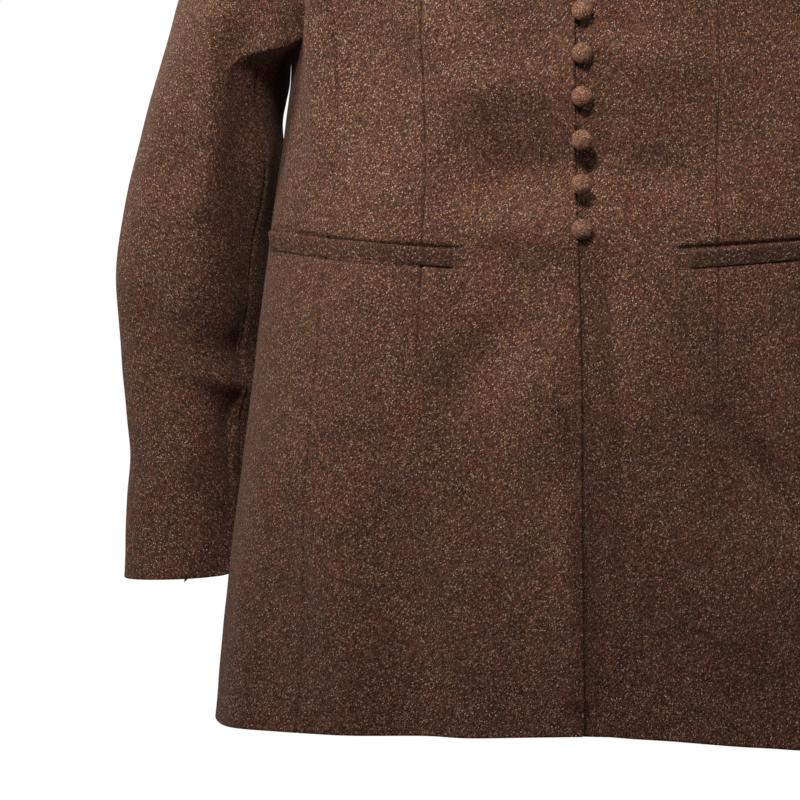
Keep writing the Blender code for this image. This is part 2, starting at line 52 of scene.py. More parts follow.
RINGS = (  # height, half the width, depth to the front, depth to the back
    (-742, 202.5, 131.5, 119.5),
    (-726, 201.0, 131.0, 119.0),
    (-650, 193.5, 127.0, 118.0),
    (-605, 188.0, 124.0, 117.0),
    (-560, 182.0, 121.0, 116.0),
    (-494, 174.0, 115.0, 111.0),
    (-438, 167.0, 108.0, 103.0),
    (-400, 161.5, 102.0, 95.0),
    (-370, 158.0, 99.0, 90.0),
    (-335, 159.5, 102.0, 90.0),
    (-290, 166.0, 111.0, 95.0),
    (-245, 174.0, 119.0, 101.0),
    (-205, 178.0, 122.0, 105.0),
)
SEAMS = (  # height, then distance of the dart, the front seam and the back seam from the middle
    (-742, 90.0, 154.0, 151.0),
    (-726, 89.5, 153.3, 150.0),
    (-662, 87.5, 149.6, 146.0),
    (-578, 84.5, 143.2, 139.0),
    (-510, 82.0, 136.3, 132.0),
    (-443, 80.5, 130.5, 124.0),
    (-387, 80.0, 127.8, 119.0),
    (-332, 80.0, 129.8, 120.0),
    (-290, 80.0, 136.5, 128.0),
    (-245, 79.5, 149.0, 142.0),
    (-205, 79.0, 158.5, 153.0),
)
HEM_DROP = (  # angle from the centre front, drop of the wearer's right hem and of the left hem
    (-20, 0.0, 0.0),
    (0, 0.0, 0.0),
    (15, 1.2, 3.2),
    (30, 1.6, 8.2),
    (50, 2.6, 12.6),
    (75, 3.2, 9.0),
    (110, 1.0, 3.0),
    (140, 0.0, 0.0),
    (180, 0.0, 0.0),
)
FOLDS = (  # side, first and last angle, first and last height, half-width, rise
    (-1, 30, 24, -585, -735, 20, -5.0),
    (-1, 21, 16, -570, -735, 20, 3.5),
    (-1, 62, 66, -540, -735, 26, 4.0),
    (1, 24, 30, -560, -735, 22, -4.0),
    (1, 60, 58, -540, -735, 26, 4.5),
    (1, 108, 112, -560, -735, 30, -4.0),
    (-1, 110, 106, -560, -735, 30, -4.0),
    (-1, 150, 146, -540, -735, 34, 3.5),
    (1, 150, 152, -540, -735, 34, 3.5),
)
LOWEST = -742.0  # where the tables of the body start, a little below the hem
FOLD_RADIUS = 150.0  # turns an angle round the body into a length across a fold
BUTTON_ROWS = (-690, -650, -608, -566, -524, -484, -446, -408, -370, -334, -294, -250, -205)
YOKE_ROWS = 9
YOKE_RISE = {False: 48.0, True: 52.0}  # how far the front's and the back's yoke first keep the slope of the rings
TOP_REACH, TOP_REACH_OUT = 40.0, 12.0  # how long the yoke turns in at its top, and how much longer at the tip
TIP_PULL = (12.0, 20.0, 22.0)  # at the armhole: inward below, inward above and down above
YOKE_LENGTH, BACK_WIDTH, SIDE_WIDTH, SLEEVE_HEAD = 205, 165, 125, 150  # roughly, to space a mesh's lines

NECK_WIDTH, NECK_TOP, NECK_BACK_Y = 72.0, 30.0, 6.0
NECK = {False: (-72.0, -61.0, 0.42), True: (62.0, 18.0, 0.375)}  # y and z in the middle, share of the columns
SHOULDER_TIP = (192.0, 8.0, -15.0)

EDGE = ((-742, 6.3), (-726, 6.2), (-626, 5.0), (-500, 4.0), (-434, 1.8), (-205, 1.0))  # front edge past the centre
UNDERLAP = 25.0
EDGE_STRIP = 38.0  # the fronts' lines follow the edge, and its lift lasts, to this far from the middle
EDGE_FADE = 30.0  # the width over which that lift fades
EDGE_SPAN, TO_DART, TO_SEAM = {-1: 42, 1: 63}, 42, 78  # roughly, to space the lines: the strip, then on outward
LAP = ((-742, 4.8), (-726, 4.7), (-600, 4.2), (-500, 3.5), (-440, 3.2), (-205, 3.0))  # how deep the left front lies
KICK = ((-742, 2.6), (-726, 2.5), (-600, 1.6), (-500, 0.6), (-430, 0.0), (-205, 0.0))  # how far the edge stands off
DART_TOP, DART_END, DART_FADE = -232.0, -545.0, 22.0

BUTTON_PITCHES, BUTTON_LOW = (24.45,) * 5 + (23.78,) * 11, -452.0  # a little closer above the bust
BUTTON_X, BALL, SHANK, STAND = 5.3, 5.7, 1.5, 7.7
LOOP_BEND, LOOP_THICK, LOOP_STAND = 3.2, 1.0, 1.35

WELT = (  # angle from the centre front, height of the upper and of the lower edge
    (20.6, -463.0, -472.2),
    (45.0, -458.6, -468.4),
    (66.0, -455.8, -465.9),
    (79.0, -454.9, -465.2),
)
WELT_HALF, WELT_DEEP, WELT_RADIUS = 171.0, 112.0, 140.0  # of the body at the welts: half-width, depth, radius
WELT_TALL = 9.8

SLEEVE = (  # height, middle outward and back, half-width, half-depth, turn of the front inward
    (-656, 214.2, 66.0, 42.5, 36.5, 0),
    (-611, 212.6, 65.0, 42.4, 38.0, 0),
    (-588, 211.0, 62.0, 42.1, 39.0, 0),
    (-565, 212.3, 60.0, 42.4, 40.0, 0),
    (-535, 214.0, 56.0, 43.1, 42.0, 0),
    (-508, 215.0, 51.0, 43.7, 45.0, 0),
    (-485, 215.7, 46.0, 44.0, 47.0, 0),
    (-462, 213.4, 41.0, 44.2, 49.0, 0),
    (-439, 209.0, 36.0, 44.2, 50.5, 0),
    (-416, 204.8, 31.0, 42.8, 52.0, -2),
    (-396, 202.6, 24.0, 39.2, 53.5, -6),
    (-376, 197.9, 13.0, 36.5, 55.5, -12),
    (-360, 194.2, 2.0, 35.5, 57.5, -6),
    (-345, 182.6, -11.0, 38.0, 61.0, 29),
    (-326, 172.6, -19.0, 40.0, 64.0, 34),
    (-295, 166.4, -18.0, 40.0, 64.0, 30),
    (-262, 162.0, -10.0, 40.5, 63.0, 22),
)
SLEEVE_OUTSIDE = (  # the same at the outside and the front, where the cloth falls smoothly past the armpit's fold
    (-416, 204.8, 31.0, 42.8, 52.0, -2),
    (-396, 202.6, 24.0, 39.2, 53.5, -5),
    (-376, 198.5, 18.0, 37.5, 55.5, -3),
    (-360, 194.2, 13.0, 37.0, 57.5, 0),
    (-345, 188.5, 8.0, 38.0, 60.0, 4),
    (-326, 180.9, 2.0, 40.0, 62.0, 8),
    (-295, 168.2, -9.0, 40.4, 63.4, 17),
    (-275, 163.7, -13.4, 40.3, 63.5, 25),
    (-262, 162.0, -10.0, 40.5, 63.0, 22),
)
CUFF_RISE, CUFF_RISE_FROM = 2.2, -590.0  # how much higher the cuff's inner side is than its middle, and from where
CLEAR = 4.0  # between the sleeve and the body
CUFF_DROP = 8.0  # how far the vent's corner hangs below the cuff
SLEEVE_TOP, SLEEVE_END = -262.0, -656.0
TOP_SLEEVE = (20, 35)  # the armhole's points where the top sleeve starts and ends, counted past the shoulder
FINER = 7  # lines of the cloth's mesh for each point of the armhole
UNDER_ARM = 7  # the armhole's steps under the arm
ARMHOLE_MIDDLE = (168.0, -2.0, -118.0)
HEAD_REACH, HEAD_FULL = 4.5, 16.0  # how far the sleeve's head first stands out: everywhere, and more toward its top

SPACING = 3.0  # between the lines of a cloth's mesh
SEAM_LINES = (0.0, 0.4, 0.8, 1.3, 2.0, 3.2)  # closer lines beside a seam
SEAM_TURN = (1.2, 0.75)  # how deep the cloth turns in at a seam, half-width
DART_LINES = (0.0, 0.3, 0.6, 1.0, 1.6, 2.8)
DART_GROOVE = (1.6, 0.62)  # depth, half-width
WELT_ROWS = (-477.0, -447.5, 0.7)  # heights with closer lines, and their spacing

# The main creases, each with its own place and size. Those on the front of the body and of the right sleeve are where
# the photograph has them. 16 of these rows were set one by one. The other 24 were first set one by one, and a fit to
# the photograph's light and shade then moved and sized them, to at most 8.1 mm high. The hidden sides have similar
# ones.
BODY_CREASES = (  # face (-1 front, 1 back), x and z of both ends, bow, half-width, rise
    (-1, -98, -318, -54, -370, 0, 17, 8.0),  # fullness beside the dart
    (-1, -62, -378, -12, -374, 0, 19, 9.5),  # the ridge over the drag under the bust
    (-1, -60, -424, 2, -420, 0, 17, -12.0),  # the drag to the lowest buttons
    (-1, -34, -450, 4, -457, 0, 11, 6.5),
    (-1, -38, -464, -16, -490, 0, 10, -6.0),
    (-1, -21, -509, -61, -537, -4, 18, -8.1),  # from the fastening down toward the dart's end
    (-1, -23, -523, -13, -574, 0, 17, 8.1),
    (-1, -88, -535, -96, -604, 0, 26, 8.1),
    (-1, -129, -575, -141, -597, 0, 14, -5.4),
    (-1, -101, -613, -112, -626, 0, 9, -1.8),
    (-1, -106, -575, -78, -732, 4, 16, -7.5),  # the flare's trough, and the ridge outside it
    (-1, -141, -590, -120, -728, 4, 16, 6.5),
    (-1, -164, -635, -165, -721, 0, 24, -6.9),
    (-1, -140, -278, -136, -414, 0, 10, 8.1),
    (-1, -100, -431, -131, -579, 0, 26, 8.1),
    (-1, -4, -602, 2, -703, 0, 9, 8.1),
    (-1, -113, -455, -90, -524, 0, 26, 8.1),
    (-1, -46, -314, -51, -364, 0, 26, 8.1),
    (-1, 14, -350, 76, -366, 0, 20, 8.0),  # the left front's ridge, and the two drags under it
    (-1, 20, -418, 66, -422, 0, 20, -9.5),
    (-1, 40, -438, 70, -466, 0, 16, -5.0),
    (-1, 126, -328, 127, -395, 0, 21, 8.1),
    (-1, 126, -370, 132, -469, 0, 23, 8.1),
    (-1, 82, -502, 99, -566, 0, 26, -8.1),  # a hollow over the left dart's end
    (-1, 86, -554, 123, -615, 3, 8, -8.1),
    (-1, 109, -530, 122, -569, 3, 12, 4.4),
    (-1, 77, -684, 127, -728, 0, 26, -7.4),
    (-1, 45, -576, 49, -733, 0, 26, -8.1),
    (-1, 13, -484, 23, -731, 0, 9, -8.1),
    (-1, 97, -564, 94, -626, 0, 26, -7.6),
    (1, -96, -352, -30, -368, 3, 14, -2.2),  # small drags across the back of the waist
    (1, 28, -362, 102, -346, -3, 13, -2.0),
    (1, -84, -392, -20, -402, 2, 13, -1.6),
    (1, 34, -398, 92, -384, -2, 14, -1.8),
    (1, -70, -374, 60, -382, 0, 12, 1.3),
    (1, -110, -250, -70, -300, 6, 18, 1.8),
    (1, 112, -246, 74, -304, -6, 18, 1.6),
    (1, -60, -600, -84, -720, 6, 24, -2.6),
    (1, 66, -590, 88, -720, -6, 24, -2.4),
    (1, -130, -560, -140, -720, 0, 24, 1.8),
    (1, 128, -570, 142, -720, 0, 24, 1.9),
)
SLEEVE_CREASES = (  # face, x and z of both ends, bow, half-width, rise
    (-1, -198, -336, -207, -438, 3, 8, 6.5),  # the ridge down the front of the upper sleeve
    (-1, -197, -402, -214, -525, 0, 19, 6.0),
    (-1, -184, -330, -180, -515, -3, 14, -5.5),  # the long trough beside it
    (-1, -214, -512, -176, -530, -3, 10, -5.0),  # the trough above the elbow's ridge
    (-1, -177, -512, -188, -590, 0, 13, -7.6),
    (-1, -214, -536, -176, -546, -2, 6, 3.5),  # the elbow's ridge
    (-1, -240, -508, -190, -566, -5, 11, -6.5),  # the elbow's crease
    (-1, -161, -328, -167, -356, 0, 8, 1.0),
    (-1, -188, -573, -195, -643, 0, 17, -8.1),
    (-1, -195, -587, -208, -640, 0, 10, 2.6),
    (-1, 191, -328, 206, -426, -3, 12, 4.6),
    (-1, 199, -410, 210, -514, 0, 17, 4.8),
    (-1, 199, -330, 183, -514, 4, 17, -2.5),
    (-1, 240, -432, 176, -530, 9, 20, -4.6),
    (-1, 181, -520, 191, -574, 0, 13, -4.8),
    (-1, 244, -500, 207, -582, 4, 19, -3.0),
    (-1, 188, -580, 189, -645, 0, 13, -3.8),
    (1, -160, -345, -166, -382, 0, 12, 8.0),  # behind the armpit, where it nearly touches the body
    (1, -246, -404, -196, -436, 4, 10, -2.2),  # behind the elbow
    (1, -250, -440, -200, -468, 4, 11, -2.4),
    (1, -248, -424, -206, -452, 0, 9, 1.6),
    (1, -242, -500, -204, -516, 0, 14, -1.4),
    (1, 244, -398, 198, -434, -4, 10, -2.3),
    (1, 250, -436, 202, -462, -4, 11, -2.2),
    (1, 246, -420, 204, -446, 0, 9, 1.6),
    (1, 240, -492, 206, -512, 0, 14, -1.5),
    (1, -214, -180, -206, -300, 4, 18, 2.2),
    (1, 212, -186, 208, -306, -4, 18, 2.0),
)


def smooth(table, x):
    """A soft curve through the rows of a table, at x in its first column."""
    rows = np.array(sorted(table), float)
    x = np.asarray(x, float)
    at, values = rows[:, 0], rows[:, 1:]
    slopes = np.gradient(values, at, axis=0)
    k = np.clip(np.searchsorted(at, x, side="right") - 1, 0, len(at) - 2)
    step = (at[k + 1] - at[k])[..., None]
    t = np.clip((x - at[k])[..., None] / step, 0, 1)
    value = (2 * t**3 - 3 * t**2 + 1) * values[k] + (3 * t**2 - 2 * t**3) * values[k + 1]
    value += step * ((t**3 - 2 * t**2 + t) * slopes[k] + (t**3 - t**2) * slopes[k + 1])
    return np.moveaxis(value, -1, 0)


def ramp(x):
    """From 0 to 1, softly, as x goes from 0 to 1."""
    x = np.clip(x, 0, 1)
    return x * x * (3 - 2 * x)


def unit(vectors):
    """Vectors in the last axis, one long."""
    return vectors / np.linalg.norm(vectors, axis=-1, keepdims=True)


def row_heights(rows):
    """The height on the rings of each row position."""
    return HEM + (CHEST - HEM) * np.clip(rows, 0, 1)


def fold_rise(side, angle, z):
    """How far the folds lift a ring at an angle and a height."""
    rise = np.zeros(np.broadcast(angle, z).shape)
    for fold_side, start, end, high, low, width, depth in FOLDS:
        if fold_side == side:
            along = np.clip((high - z) / (high - low), 0, 1.2)
            off = (angle - start - (end - start) * along) * math.radians(1) * FOLD_RADIUS
            rise += depth * np.clip(along, 0, 1) ** 0.7 * np.exp(-((off / width) ** 2))
    return rise


def ring(side, angle, z):
    """A point of the body's outer face. The angle is 0 at the centre front and 180 at the back."""
    half, front, back = smooth(RINGS, z)
    turn, rise = np.radians(angle), fold_rise(side, angle, z)
    deep = np.where(np.cos(turn) > 0, front, back) + rise
    x = (half + rise) * (np.sin(turn) + SQUARE * np.sin(3 * turn)) / (1 - SQUARE)
    y = -deep * (np.cos(turn) - SQUARE * np.cos(3 * turn)) / (1 - SQUARE)
    return np.stack(np.broadcast_arrays(x, y, z), -1)


def angle_of(x, z):
    """The angle from the middle where a ring is x away from it."""
    angles = np.linspace(-80, 80, 321)
    turn = np.radians(angles)
    reach = (np.sin(turn) + SQUARE * np.sin(3 * turn)) / (1 - SQUARE)
    return np.interp(x / smooth(RINGS, z)[0], reach, angles)


def panel_angles(back, z):
    """The angle of a panel's side seam from its middle, and how the dart bends the columns."""
    dart, front_seam, back_seam = smooth(SEAMS, z)
    if back:
        return angle_of(back_seam, z), np.zeros(np.shape(z))
    full = angle_of(front_seam, z)
    return full, 4 * (angle_of(dart, z) / full - 0.5)


def column_angle(full, bend, share):
    """The angle of a column from its panel's middle, by its share of the way to the seam."""
    return full * (share + bend * share * (1 - share))


def share_of(x, z):
    """The front's column share where it is x from the middle."""
    full, bend = panel_angles(False, z)
    ratio = angle_of(x, z) / full
    return 2 * ratio / (1 + bend + np.sqrt((1 + bend) ** 2 - 4 * bend * ratio))


def top_line(back, share):
    """The neckline, then the shoulder seam, with the direction in which the cloth reaches it."""
    mid_y, mid_z, neck = NECK[back]
    turn = np.radians(90 * np.clip(share / neck, -1, 1))
    along = np.clip((share - neck) / (1 - neck), 0, 1)
    tip_x, tip_y, tip_z = SHOULDER_TIP
    x = NECK_WIDTH * np.sin(turn) + (tip_x - NECK_WIDTH) * along
    y = NECK_BACK_Y + (mid_y - NECK_BACK_Y) * np.cos(turn) + (tip_y - NECK_BACK_Y) * along
    z = NECK_TOP + (mid_z - NECK_TOP) * np.cos(turn) + (tip_z - NECK_TOP) * along
    z = z - 3 * np.sin(np.pi * along)
    level = np.radians(60 * np.cos(turn))
    sense = -1 if back else 1
    reach = np.stack([0 * x, sense * np.cos(level), np.sin(level)], -1)
    return np.stack([x, y, z], -1), reach


def hem_height(side, angle):
    right, left = smooth(HEM_DROP, angle)
    return HEM - (right if side < 0 else left)


def panel(side, back, share, v):
    """A point of a front or back panel: v is 0 to 1 up the rings and 1 to 2 up the yoke."""
    full, bend = panel_angles(back, HEM)
    edge = column_angle(full, bend, share)
    low = hem_height(side, 180 - edge if back else edge)
    z = low + (CHEST - low) * np.clip(v, 0, 1)
    full, bend = panel_angles(back, z)
    angle = column_angle(full, bend, share)
    place = ring(side, 180 - angle if back else angle, z)
    if np.max(v) <= 1:
        return place
    chest = np.full(np.shape(share), CHEST)
    full, bend = panel_angles(back, chest)
    angle = column_angle(full, bend, share)
    angle = 180 - angle if back else angle
    start = ring(side, angle, chest)
    rise = (start - ring(side, angle, chest - 2)) / 2
    end, reach = top_line(back, share)
    first = start + rise * YOKE_RISE[back]
    last = end - reach * (TOP_REACH + TOP_REACH_OUT * share)[..., None]
    pull = np.clip(share, 0, 1) ** 4
    first[..., 0] -= TIP_PULL[0] * pull
    last[..., 0] -= TIP_PULL[1] * pull
    last[..., 2] -= TIP_PULL[2] * pull
    t = np.clip(v - 1, 0, 1)[..., None]
    curve = (1 - t) ** 3 * start + 3 * (1 - t) ** 2 * t * first + 3 * (1 - t) * t**2 * last + t**3 * end
    return np.where((v > 1)[..., None], curve, place)


def side_panel(side, share, v):
    """A point of the side panel, between the front seam and the back seam."""
    first = panel_angles(False, HEM)[0]
    last = 180 - panel_angles(True, HEM)[0]
    low = hem_height(side, first + (last - first) * share)
    high = CHEST - SCOOP * np.sin(np.pi * np.clip(share, 0, 1)) ** 1.2
    z = low + (high - low) * v
    first = panel_angles(False, z)[0]
    last = 180 - panel_angles(True, z)[0]
    return ring(side, first + (last - first) * share, z)


def outward(surface, share, v, seam=False):
    """The outward direction of a surface at its points. Both sides of a shoulder seam share one."""
    e = 1e-4
    up_v, low_v = np.where(v >= 2, v, v + e), np.where(v >= 2, v - e, v - e * (v > 1))
    up_v = np.where((v <= 1) & (v + e > 1), v, up_v)
    low_v = np.where((v <= 1) & (v > 0.5), v - e, low_v)
    across = surface(share + e, v) - surface(share - e, v)
    up = surface(share, up_v) - surface(share, low_v)
    turn = np.sign(up[..., 1:2])
    up = np.where((v >= 2)[..., None], turn * np.array([0, 1.0, 0]), up) if seam else up
    return unit(np.cross(across, up))


def near_share(x, z, rows):
    """The column share that keeps a line at x from the middle, up to the neckline."""
    top = NECK[False][2] * np.degrees(np.arcsin(x / NECK_WIDTH)) / 90
    return share_of(x, z) + (top - share_of(x, z)) * np.clip(rows - 1, 0, 1)


def sleeve_ring(angle, z, clear):
    """A point of the sleeve: angle 0 is outward, 90 the front, 180 beside the body."""
    places = []
    for table in (SLEEVE, SLEEVE_OUTSIDE):
        middle_x, middle_y, half, deep, turn = smooth(table, np.maximum(z, table[0][0]))
        turn = np.radians(turn)
        out, ahead = half * np.cos(np.radians(angle)), deep * np.sin(np.radians(angle))
        x = middle_x + out * np.cos(turn) - ahead * np.sin(turn)
        y = middle_y - out * np.sin(turn) - ahead * np.cos(turn)
        places.append(np.stack(np.broadcast_arrays(x, y, z), -1))
    inner, outer = places
    weight = ramp((angle - 85) / 45) * ramp((250 - angle) / 60)
    weight = np.where(z < SLEEVE_OUTSIDE[0][0], 1.0, weight)
    return clear_of_body(outer + (inner - outer) * weight[..., None], clear)


def clear_of_body(points, clear):
    """Points that would be in the body are moved out to its side."""
    x, y, z = points[..., 0], points[..., 1], points[..., 2]
    half, front, back = smooth(RINGS, np.clip(z, LOWEST, CHEST))
    deep = np.where(y < 0, front, back)
    x_share, y_share = x / (half + clear), y / (deep + clear)
    share = np.hypot(x_share, y_share)
    turn = np.arctan2(x_share, -y_share)
    limit = np.sqrt(1 + SQUARE**2 - 2 * SQUARE * np.cos(4 * turn)) / (1 - SQUARE)
    wanted = 0.5 * (share + limit + np.sqrt((share - limit) ** 2 + 0.02**2))
    fade = np.clip((CHEST + 10 - z) / 30, 0, 1)
    factor = 1 + (wanted / share - 1) * fade
    return np.stack([x * factor, y * factor, z], -1)


def lines(length, low=SEAM_LINES, high=SEAM_LINES):
    """Shares from 0 to 1 across a length, closer together at its ends."""
    low, high = np.array(low), length - np.array(high)[::-1]
    count = max(int(round((high[0] - low[-1]) / SPACING)), 1)
    return np.concatenate([low, np.linspace(low[-1], high[0], count + 1)[1:-1], high]) / length


def body_rows(yoke):
    """Row positions from the hem to the chest line, closer at the welts, and on up the yoke or to a seam."""
    low, high, fine = WELT_ROWS
    heights = [HEM + np.array(SEAM_LINES), np.arange(HEM + 7.5, low - 2, SPACING), np.arange(low, high, fine)]
    heights += [np.arange(high + 2, CHEST - 6, SPACING)]
    if yoke:
        heights += [np.array([CHEST - 2.5])]
    rows = (np.concatenate(heights) - HEM) / (CHEST - HEM)
    if yoke:
        return np.concatenate([rows, 1 + lines(YOKE_LENGTH, low=(0.0,))])
    return np.concatenate([rows, 1 - np.array(SEAM_LINES)[::-1] / (CHEST - HEM)])


def crease_rise(table, side, points, normals):
    """How far a table's creases lift the cloth at its points."""
    x, z = side * points[..., 0], points[..., 2]
    rise = np.zeros(x.shape)
    for face, x0, z0, x1, z1, bow, width, height in table:
        length = math.hypot(x1 - x0, z1 - z0)
        ux, uz = (x1 - x0) / length, (z1 - z0) / length
        along = (x - x0) * ux + (z - z0) * uz
        inside = np.clip(along, 0, length)
        t = inside / length
        off = (z - z0) * ux - (x - x0) * uz - bow * 4 * t * (1 - t)
        facing = ramp(normals[..., 1] * face * 1.7)
        fade = np.exp(-((off / width) ** 2) - ((along - inside) / width) ** 2)
        rise += height * facing * fade * (0.6 + 0.4 * np.sin(np.pi * t))
    return rise


def unevenness(points, side):
    """The slight waves that no pressed woollen cloth is without."""
    x, y, z = side * points[..., 0], points[..., 1], points[..., 2]
    rise = 0.20 * np.sin(x / 13 + z / 29 + 0.7) * np.sin(z / 17 - y / 23)
    rise += 0.13 * np.sin(x / 7.3 - z / 11 + 1.3) * np.sin(y / 9 + z / 8.1)
    return rise


def welt_edges(points):
    """Distances of points from a welt's upper and lower edge and from its ends, along the panel."""
    angle = np.degrees(np.arctan2(points[..., 0] / WELT_HALF, -points[..., 1] / WELT_DEEP))
    upper, lower = smooth(WELT, np.clip(angle, WELT[0][0], WELT[-1][0]))
    inside = np.minimum(angle - WELT[0][0], WELT[-1][0] - angle) * math.radians(WELT_RADIUS)
    return points[..., 2] - upper, points[..., 2] - lower, inside


def welt_grooves(points):
    """The slit above a pocket's welt, the seam below it and the stitched ends."""
    above, below, inside = welt_edges(points)
    near = ramp((inside + 0.8) / 1.6)
    rise = -3.6 * np.exp(-(((above - 0.8) / np.where(above > 0.8, 1.6, 1.0)) ** 2)) * near
    rise -= 1.5 * np.exp(-(((below + 0.4) / 0.75) ** 2)) * near
    level = ramp((below + 0.6) / 1.0) * ramp((0.8 - above) / 1.0)
    return rise - 2.4 * np.exp(-(((inside + 0.2) / 0.75) ** 2)) * level


def dressed(points, normals, side, table=BODY_CREASES, weight=1.0):
    """A piece's points moved out by its creases."""
    rise = crease_rise(table, side, points, normals) + unevenness(points, side)
    return points + normals * (rise * weight)[..., None]


def front_shares(side, rows):
    """Columns of a front: lines along its edge, then shares to the dart and on to the side seam."""
    z = row_heights(rows)
    start = -smooth(EDGE, z)[0] if side < 0 else 0 * z - UNDERLAP
    strip = lines(EDGE_SPAN[side], high=(0.0,))
    shares = [near_share(start + (EDGE_STRIP - start) * t, z, rows) for t in strip]
    to_dart = lines(TO_DART, low=(0.0,), high=DART_LINES)[1:]
    shares += [shares[-1] + (0.5 - shares[-1]) * t for t in to_dart]
    dart_column = len(shares) - 1
    shares += [0 * z + 0.5 + 0.5 * t for t in lines(TO_SEAM, low=DART_LINES)[1:]]
    return np.stack(shares, 1), dart_column


def front_points(side, shares, rows):
    """The left front lies under the right one, and the right one's edge stands off a little."""
    v = np.repeat(rows[:, None], shares.shape[1], 1)
    surface = lambda s, w: panel(side, False, s, w)
    points, normals = surface(shares, v), outward(surface, shares, v, seam=True)
    heights = np.clip(points[..., 2], LOWEST, CHEST)
    off = ramp((EDGE_STRIP - points[..., 0]) / EDGE_FADE)
    lift = smooth(KICK, heights)[0] * off if side < 0 else -smooth(LAP, heights)[0] * off
    return points + normals * lift[..., None], normals


def front_cloth(side):
    """A front's outer points and outward directions, with its dart's groove and its welt's."""
    rows = body_rows(yoke=True)
    shares, dart = front_shares(side, rows)
    points, normals = front_points(side, shares, rows)
    off = (points[..., 0] - points[:, dart : dart + 1, 0]) / 0.88
    depth, width = DART_GROOVE
    z = points[..., 2]
    groove = depth * np.exp(-((off / width) ** 2))
    groove = groove * ramp((z - DART_END) / DART_FADE) * ramp((DART_TOP - z) / DART_FADE)
    points = dressed(points, normals, side)
    rise = welt_grooves(points) - groove
    return points + normals * rise[..., None], normals


def even_cloth(side, surface, width, yoke):
    """The points of a panel whose columns are all alike, with its creases, and its outward directions."""
    rows = body_rows(yoke)
    shares = np.repeat(lines(width)[None], len(rows), 0)
    v = np.repeat(rows[:, None], shares.shape[1], 1)
    sense = -1 if yoke else 1  # a back's columns run the other way round the body
    points, normals = surface(shares, v), sense * outward(surface, shares, v, seam=yoke)
    return dressed(points, normals, side), normals


def back_cloth(side):
    return even_cloth(side, lambda s, w: panel(side, True, s, w), BACK_WIDTH, yoke=True)


def side_cloth(side):
    points, normals = even_cloth(side, lambda s, w: side_panel(side, s, w), SIDE_WIDTH, yoke=False)
    return points + normals * welt_grooves(points)[..., None], normals


def armhole(side):
    """The armhole's points from the shoulder down the front, under the arm and up the back."""
    tall = 1 + np.arange(YOKE_ROWS * FINER + 1) / (YOKE_ROWS * FINER)
    full = np.ones(len(tall))
    down = panel(side, False, full, tall)[::-1]
    across = np.arange(1, UNDER_ARM * FINER) / (UNDER_ARM * FINER)
    under = side_panel(side, across, np.ones(len(across)))
    up = panel(side, True, full, tall)
    return np.concatenate([down, under, up[:-1]])


def sleeve_points(side):
    """Rows of the sleeve from the cuff up to the armhole, and its outward directions."""
    loop = armhole(side)
    lengths = np.linalg.norm(np.roll(loop, -1, 0) - loop, axis=1)
    travelled = np.concatenate([[0], np.cumsum(lengths)[:-1]])
    lowest = int(np.argmin(loop[:, 2]))
    total, half = lengths.sum(), travelled[lowest]
    angles = np.where(travelled <= half, 180 * travelled / half, 180 + 180 * (travelled - half) / (total - half))
    around = loop - np.array(ARMHOLE_MIDDLE)
    around[:, 0] = 0
    start = unit(np.array([1.0, 0, 0]) + 0.3 * unit(around))
    height = (loop[:, 2] - loop[lowest, 2]) / (loop[0, 2] - loop[lowest, 2])
    reach = HEAD_REACH + HEAD_FULL * np.sin(np.pi * np.clip(height, 0, 1) * 0.62)
    top = np.full(len(loop), SLEEVE_TOP)
    end = sleeve_ring(angles, top, CLEAR)
    fall = (end - sleeve_ring(angles, top - 3, CLEAR)) / 3
    first = loop + start * reach[:, None]
    last = end + fall * (0.42 * (loop[:, 2] - SLEEVE_TOP))[:, None]
    rows = [loop + start * GAP]
    for share in lines(SLEEVE_HEAD, low=(1.5, 2.6, 4.0, 5.5), high=(0.0,)):
        inset = 2.0 / (3 * reach)
        t = (inset + (1 - inset) * share)[:, None]
        bent = (1 - t) ** 3 * loop + 3 * (1 - t) ** 2 * t * first + 3 * (1 - t) * t**2 * last + t**3 * end
        rows.append(clear_of_body(bent, CLEAR * t[:, 0] ** 0.5))
    for share in lines(SLEEVE_TOP - SLEEVE_END, low=(0.0,))[1:]:
        z = SLEEVE_TOP + (SLEEVE_END - SLEEVE_TOP) * share
        rows.append(sleeve_ring(angles, np.full(len(loop), z), CLEAR))
        near_cuff = np.clip((CUFF_RISE_FROM - z) / (CUFF_RISE_FROM - SLEEVE_END), 0, 1)
        rows[-1][:, 2] += CUFF_RISE * (1 - np.cos(np.radians(angles))) * near_cuff
    points = np.array(rows)[::-1]
    across = np.roll(points, -1, 1) - np.roll(points, 1, 1)
    normal = unit(np.cross(np.gradient(points, axis=0), across))
    from_armhole = np.arange(len(points))[::-1, None]
    normal[..., 0] *= ramp(from_armhole / 5)
    normal = unit(normal)
    free = ramp((from_armhole - 2) / 12) * np.ones(points.shape[1])
    return dressed(points, normal, side, SLEEVE_CREASES, free), normal


def cloth_uv(points):
    """The cloth's own flat coordinates in metres: across from the middle column, and up from the low edge."""
    across = np.cumsum(np.linalg.norm(np.diff(points, axis=1), axis=-1), axis=1)
    across = np.concatenate([0 * across[:, :1], across], 1)
    across -= across[:, points.shape[1] // 2, None]
    up = np.cumsum(np.linalg.norm(np.diff(points, axis=0), axis=-1), axis=0)
    up = np.concatenate([0 * up[:1], up], 0)
    return np.stack([across, up], -1) * MM


